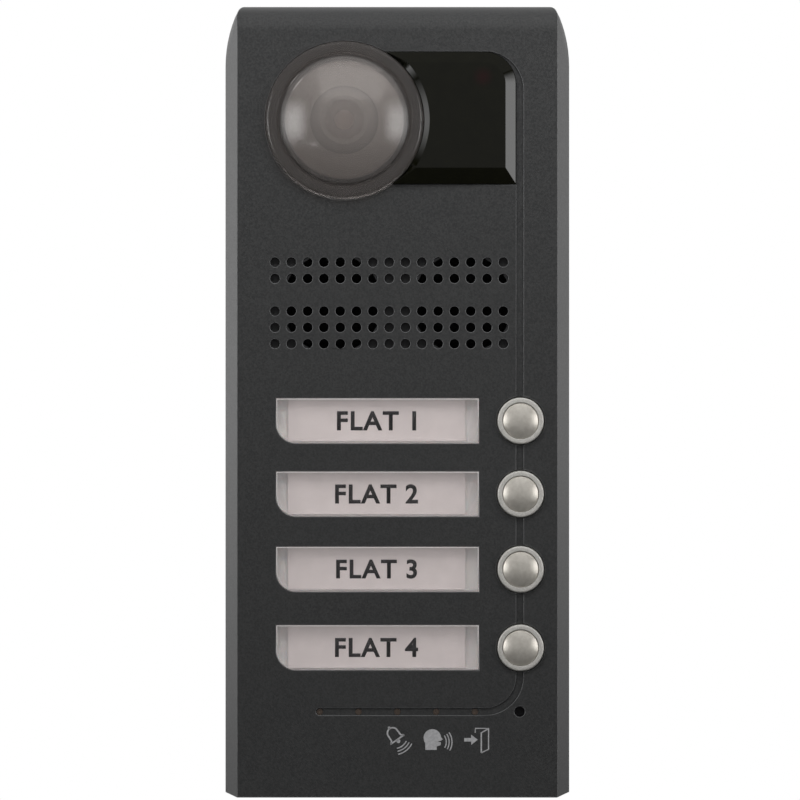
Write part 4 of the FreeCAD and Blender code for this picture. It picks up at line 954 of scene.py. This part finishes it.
# %% Lettering and print
def lettering(name, text, tall, weight):
    """Text as a flat mesh in the XZ plane, facing -Y, centred at the origin, its capitals tall high."""
    letters = bpy.data.curves.new(name, "FONT")
    letters.body = text
    letters.size = 1.0
    letters.offset = weight
    letters.space_character = 1.12
    letters.space_word = 0.8
    letters.resolution_u = 8
    draft = bpy.data.objects.new(name + "_draft", letters)
    bpy.context.scene.collection.objects.link(draft)
    bpy.context.view_layer.update()
    mesh = bpy.data.meshes.new_from_object(draft.evaluated_get(bpy.context.evaluated_depsgraph_get()))
    bpy.data.objects.remove(draft)
    spots = points_of(mesh)
    low, high = spots.min(0), spots.max(0)
    flat = (spots - (low + high) / 2) * tall / (high[1] - low[1])
    turned_up = np.stack([flat[:, 0], np.zeros(len(flat)), flat[:, 1]], axis=1)
    mesh.vertices.foreach_set("co", turned_up.ravel())
    mesh.materials.clear()
    piece = bpy.data.objects.new(name, mesh)
    bpy.context.scene.collection.objects.link(piece)
    return piece


def finished_print(piece, ink):
    """Ink or copper film on the housing: it has no slot of its own in the record."""
    piece.data.materials.clear()
    piece.data.materials.append(FINISHES[ink])
    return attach(piece, "housing")


def thicken(piece, thick):
    """Gives a flat print its thickness, towards the side that its faces look to."""
    coat = piece.modifiers.new("ink_film", "SOLIDIFY")
    coat.thickness = thick
    coat.offset = 1.0
    return piece


CAPITALS = 6.1 * MM
STROKE_GAIN = 0.026
PRINT_GAP = 0.01 * MM
PRINT_THICK = 0.03 * MM
for row in ROWS:
    words = lettering(f"flat_number_{row}", f"FLAT {row}", CAPITALS, STROKE_GAIN)
    x, z = middle_of(f"name_card_{row}")
    words.data.transform(Matrix.Translation((x, -front_of(f"name_card_{row}") - PRINT_GAP, z)))
    words.data.update()
    finished_print(thicken(words, PRINT_THICK), "ink_black")
print("flat numbers:", CAPITALS / MM, "mm capitals")

# %% [markdown]
# ### Symbols
# A symbol is a few bands and one or two filled shapes. A band follows a path: at each of its points,
# half the width is laid off to either side along the path's normal. An arc is a path too. All symbols
# are drawn in millimetres about their own middle and then moved under the status lights.

# %% Symbols
def arc(x, z, radius, start, end, steps=18):
    """Points at radius from (x, z), from angle start to end in degrees."""
    a = np.radians(np.linspace(start, end, steps))
    return np.stack([x + radius * np.cos(a), z + radius * np.sin(a)], axis=1)


def band(path, wide):
    """Outline of a band: the path moved half its width to the left, then back along the right. The
    normal at a point is its tangent, from the points before and after it, turned by a right angle."""
    path = np.asarray(path, float)
    tangent = np.gradient(path, axis=0)
    tangent /= np.linalg.norm(tangent, axis=1, keepdims=True)
    normal = np.stack([-tangent[:, 1], tangent[:, 0]], axis=1) * wide / 2
    return np.concatenate([path + normal, (path - normal)[::-1]])


def turned_by(shape, degrees):
    """A flat shape turned about its middle."""
    a = math.radians(degrees)
    return shape @ np.array([[math.cos(a), math.sin(a)], [-math.sin(a), math.cos(a)]])


def all_facing(piece, way):
    """Splits the larger faces of a flat piece into triangles and turns every face the same way in Y."""
    shape = bmesh.new()
    shape.from_mesh(piece.data)
    bmesh.ops.triangulate(shape, faces=[face for face in shape.faces if len(face.verts) > 4])
    shape.normal_update()
    for face in shape.faces:
        if face.normal.y * way < 0:
            face.normal_flip()
    shape.to_mesh(piece.data)
    shape.free()
    return piece


def symbol(name, shapes, centre):
    """Filled outlines as one mesh on the face of the housing. Each outline is one face, and a band is
    a row of quads, so that a curved one fills cleanly."""
    faces, start = [], 0
    for outline, is_band in shapes:
        count = len(outline)
        if is_band:
            half = count // 2
            left = np.arange(half - 1)
            quads = np.stack([left, left + 1, count - 2 - left, count - 1 - left], axis=1) + start
            faces += [tuple(quad) for quad in quads]
        else:
            faces.append(tuple(range(start, start + count)))
        start += count
    flat = np.concatenate([outline for outline, is_band in shapes]) * MM
    y = np.full(len(flat), -(FACE + PRINT_GAP))
    spots = np.stack([flat[:, 0] + centre[0], y, flat[:, 1] + centre[1]], axis=1)
    piece = mesh_piece(name, spots, faces, outward=False)
    return finished_print(thicken(all_facing(piece, -1), PRINT_THICK), "print_silver")


def bell_shapes():
    """A bell in outline, leaning, with its clapper and three waves below it."""
    left, right = np.array([[-2.5, -1.7], [-1.75, -1.1]]), np.array([[1.75, -1.1], [2.5, -1.7]])
    side = np.concatenate([left, arc(0, 0.75, 1.7, 188, -8, 22), right])
    shapes = [
        (band(side, 0.5), True),
        (band([[-2.65, -1.75], [0, -1.75], [2.65, -1.75]], 0.5), True),
        (arc(0, -2.35, 0.62, 0, 345, 24), False),
        (arc(0, 2.75, 0.45, 0, 345, 20), False),
    ]
    leaning = [(turned_by(outline, 35) + [-1.5, 1.6], is_band) for outline, is_band in shapes]
    waves = [(band(arc(-1.5, 1.6, reach, -78, -26, 20), 0.36), True) for reach in (4.3, 5.25, 6.2)]
    return leaning + waves


def speaker_shapes():
    """A plain head and neck from the side, and three waves before its mouth."""
    nose_and_mouth = [[3.3, 0.15], [2.8, -0.25], [1.7, -0.5], [2.7, -0.85]]
    chin_and_neck = [[2.6, -1.7], [1.4, -2.1], [1.4, -3.2], [-2.2, -3.2]]
    head = np.concatenate([arc(0, 0.6, 2.75, 215, 5, 30), np.array(nose_and_mouth + chin_and_neck)])
    waves = [(band(arc(-0.9, -0.6, reach, -30, 34, 16), 0.36), True) for reach in (3.6, 4.5, 5.4)]
    return [(head + [-1.7, 0.1], False)] + waves


def door_shapes():
    """An open door in outline, and an arrow that points into it."""
    frame_path = [[-0.4, 2.3], [-0.4, 3.7], [3.8, 3.7], [3.8, -2.9], [1.5, -4.0]]
    leaf = [[3.6, 3.5], [1.5, 2.3], [1.5, -4.0]]
    arrow_low = [[-3.9, -0.45], [-1.7, -0.45], [-1.7, -1.5], [0.4, 0.1]]
    arrow_high = [[-1.7, 1.7], [-1.7, 0.65], [-3.9, 0.65]]
    arrow = np.array(arrow_low + arrow_high)
    return [(band(frame_path, 0.4), True), (band(leaf, 0.45), True), (arrow, False)]


lights_low, lights_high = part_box("status_light_guide")
light_row = (lights_low.z + lights_high.z) / 2
LIGHT_PITCH = 12.25 * MM
SYMBOL_DROP = 8.9 * MM
SYMBOLS = {
    "symbol_ringing": bell_shapes(), "symbol_speaking": speaker_shapes(), "symbol_open": door_shapes()
}
for step, (name, shapes) in enumerate(SYMBOLS.items()):
    symbol(name, shapes, (step * LIGHT_PITCH + 0.5 * MM, light_row - SYMBOL_DROP))
print("three symbols under the lights at", round(light_row / MM, 2), "mm")

# %% [markdown]
# ## The wall side
# Seen from behind, before it is hung, the panel shows its fixing plate, a foam gasket, the grommet and,
# through the window for a flush wall box, the populated board. Small parts on a board repeat by the
# dozen, so they are laid out as arrays: one unit box, copied to every place at once. The copper tracks
# run along, across and at 45 degrees, as a layout program draws them, a hair proud of the board.

# %% Small parts of the board
def boxes(name, centres, sizes):
    """Boxes from arrays of middles and sizes (n, 3): eight corners at middle + size (+-1/2, +-1/2, +-1/2)."""
    centres, sizes = np.asarray(centres, float), np.asarray(sizes, float)
    unit = np.array([[x, y, z] for x in (-0.5, 0.5) for y in (-0.5, 0.5) for z in (-0.5, 0.5)])
    points = (centres[:, None] + sizes[:, None] * unit).reshape(-1, 3)
    sides = np.array([[0, 1, 3, 2], [4, 6, 7, 5], [0, 4, 5, 1], [2, 3, 7, 6], [0, 2, 6, 4], [1, 5, 7, 3]])
    faces = (np.arange(len(centres))[:, None, None] * 8 + sides).reshape(-1, 4)
    piece = mesh_piece(name, points, faces)
    round_edges = piece.modifiers.new("rounded_edges", "BEVEL")
    round_edges.width = 0.06 * MM
    round_edges.segments = 1
    return piece


BOARD_BACK = back_of("main_board") / MM
TRACK_COUNT = 64
TRACK_WIDE = 0.34
CHIP_BOXES = [(-22, -30, -8, -16), (-22, -48, -12, -40), (20, -60, 30, -52), (4, 6, 14, 16)]
BESIDE_PARTS = 3
PART_HIGH = 0.55


def on_board(flat, out):
    """Points (x, z) in millimetres as (x, y, z), out millimetres behind the board's rear face."""
    return np.stack([flat[:, 0], np.full(len(flat), -BOARD_BACK + out), flat[:, 1]], axis=1)


rng = np.random.default_rng(7)
columns, rows_up = np.meshgrid(np.arange(-21, 22, 4.2), np.arange(-70, -13, 4.1))
spots = np.stack([columns.ravel(), rows_up.ravel()], axis=1)
spots += rng.uniform(-0.5, 0.5, spots.shape)
clear = np.ones(len(spots), bool)
for left, bottom, right, top in CHIP_BOXES[:BESIDE_PARTS]:
    beside = (spots[:, 0] > left - 3) & (spots[:, 0] < right + 3)
    clear &= ~(beside & (spots[:, 1] > bottom - 2) & (spots[:, 1] < top + 2))
spots = spots[clear & (rng.random(len(spots)) < 0.62)]
places = on_board(spots, PART_HIGH / 2 + 0.02)
ends = np.concatenate([places - [0.85, 0, 0], places + [0.85, 0, 0]])
legs = []
for left, bottom, right, top in CHIP_BOXES:
    heights = np.arange(bottom + 0.9, top - 0.4, 1.0)
    for x in (left - 0.45, right + 0.45):
        legs.append(on_board(np.stack([np.full(len(heights), x), heights], axis=1), 0.16))
legs = np.concatenate(legs)
SMALL_PARTS = {
    # name: middles, size, finish
    "chip_resistors": (places, (1.3, PART_HIGH, 1.2), "chip_black"),
    "resistor_ends": (ends, (0.42, PART_HIGH + 0.03, 1.25), "screw_steel"),
    "chip_leads": (legs, (1.0, 0.25, 0.42), "screw_steel"),
}
for name, (middles, size, slot) in SMALL_PARTS.items():
    dress(boxes(name, middles * MM, np.tile(size, (len(middles), 1)) * MM), slot, "housing")

tracks, faces = [], []
for number in range(TRACK_COUNT):
    start = np.array([rng.uniform(-26, 26), rng.uniform(-72, -13)]).round()
    first, second = rng.integers(3, 12, 2)
    way = rng.choice([-1, 1], 2)
    steps = np.array([[0, 0], [first * way[0], 0], 1.5 * way, [0, second * way[1]]])
    tracks.append(band(start + np.cumsum(steps, axis=0), TRACK_WIDE))
    base = number * 8
    faces += [(base + step, base + step + 1, base + 6 - step, base + 7 - step) for step in range(3)]
flat = np.clip(np.concatenate(tracks), [-28, -76], [28, -11])
copper = mesh_piece("board_tracks", on_board(flat, 0) * MM, faces, outward=False)
finished_print(thicken(all_facing(copper, 1), 0.04 * MM), "track_green")
print("board detail:", len(places), "small parts and", len(legs), "leads")
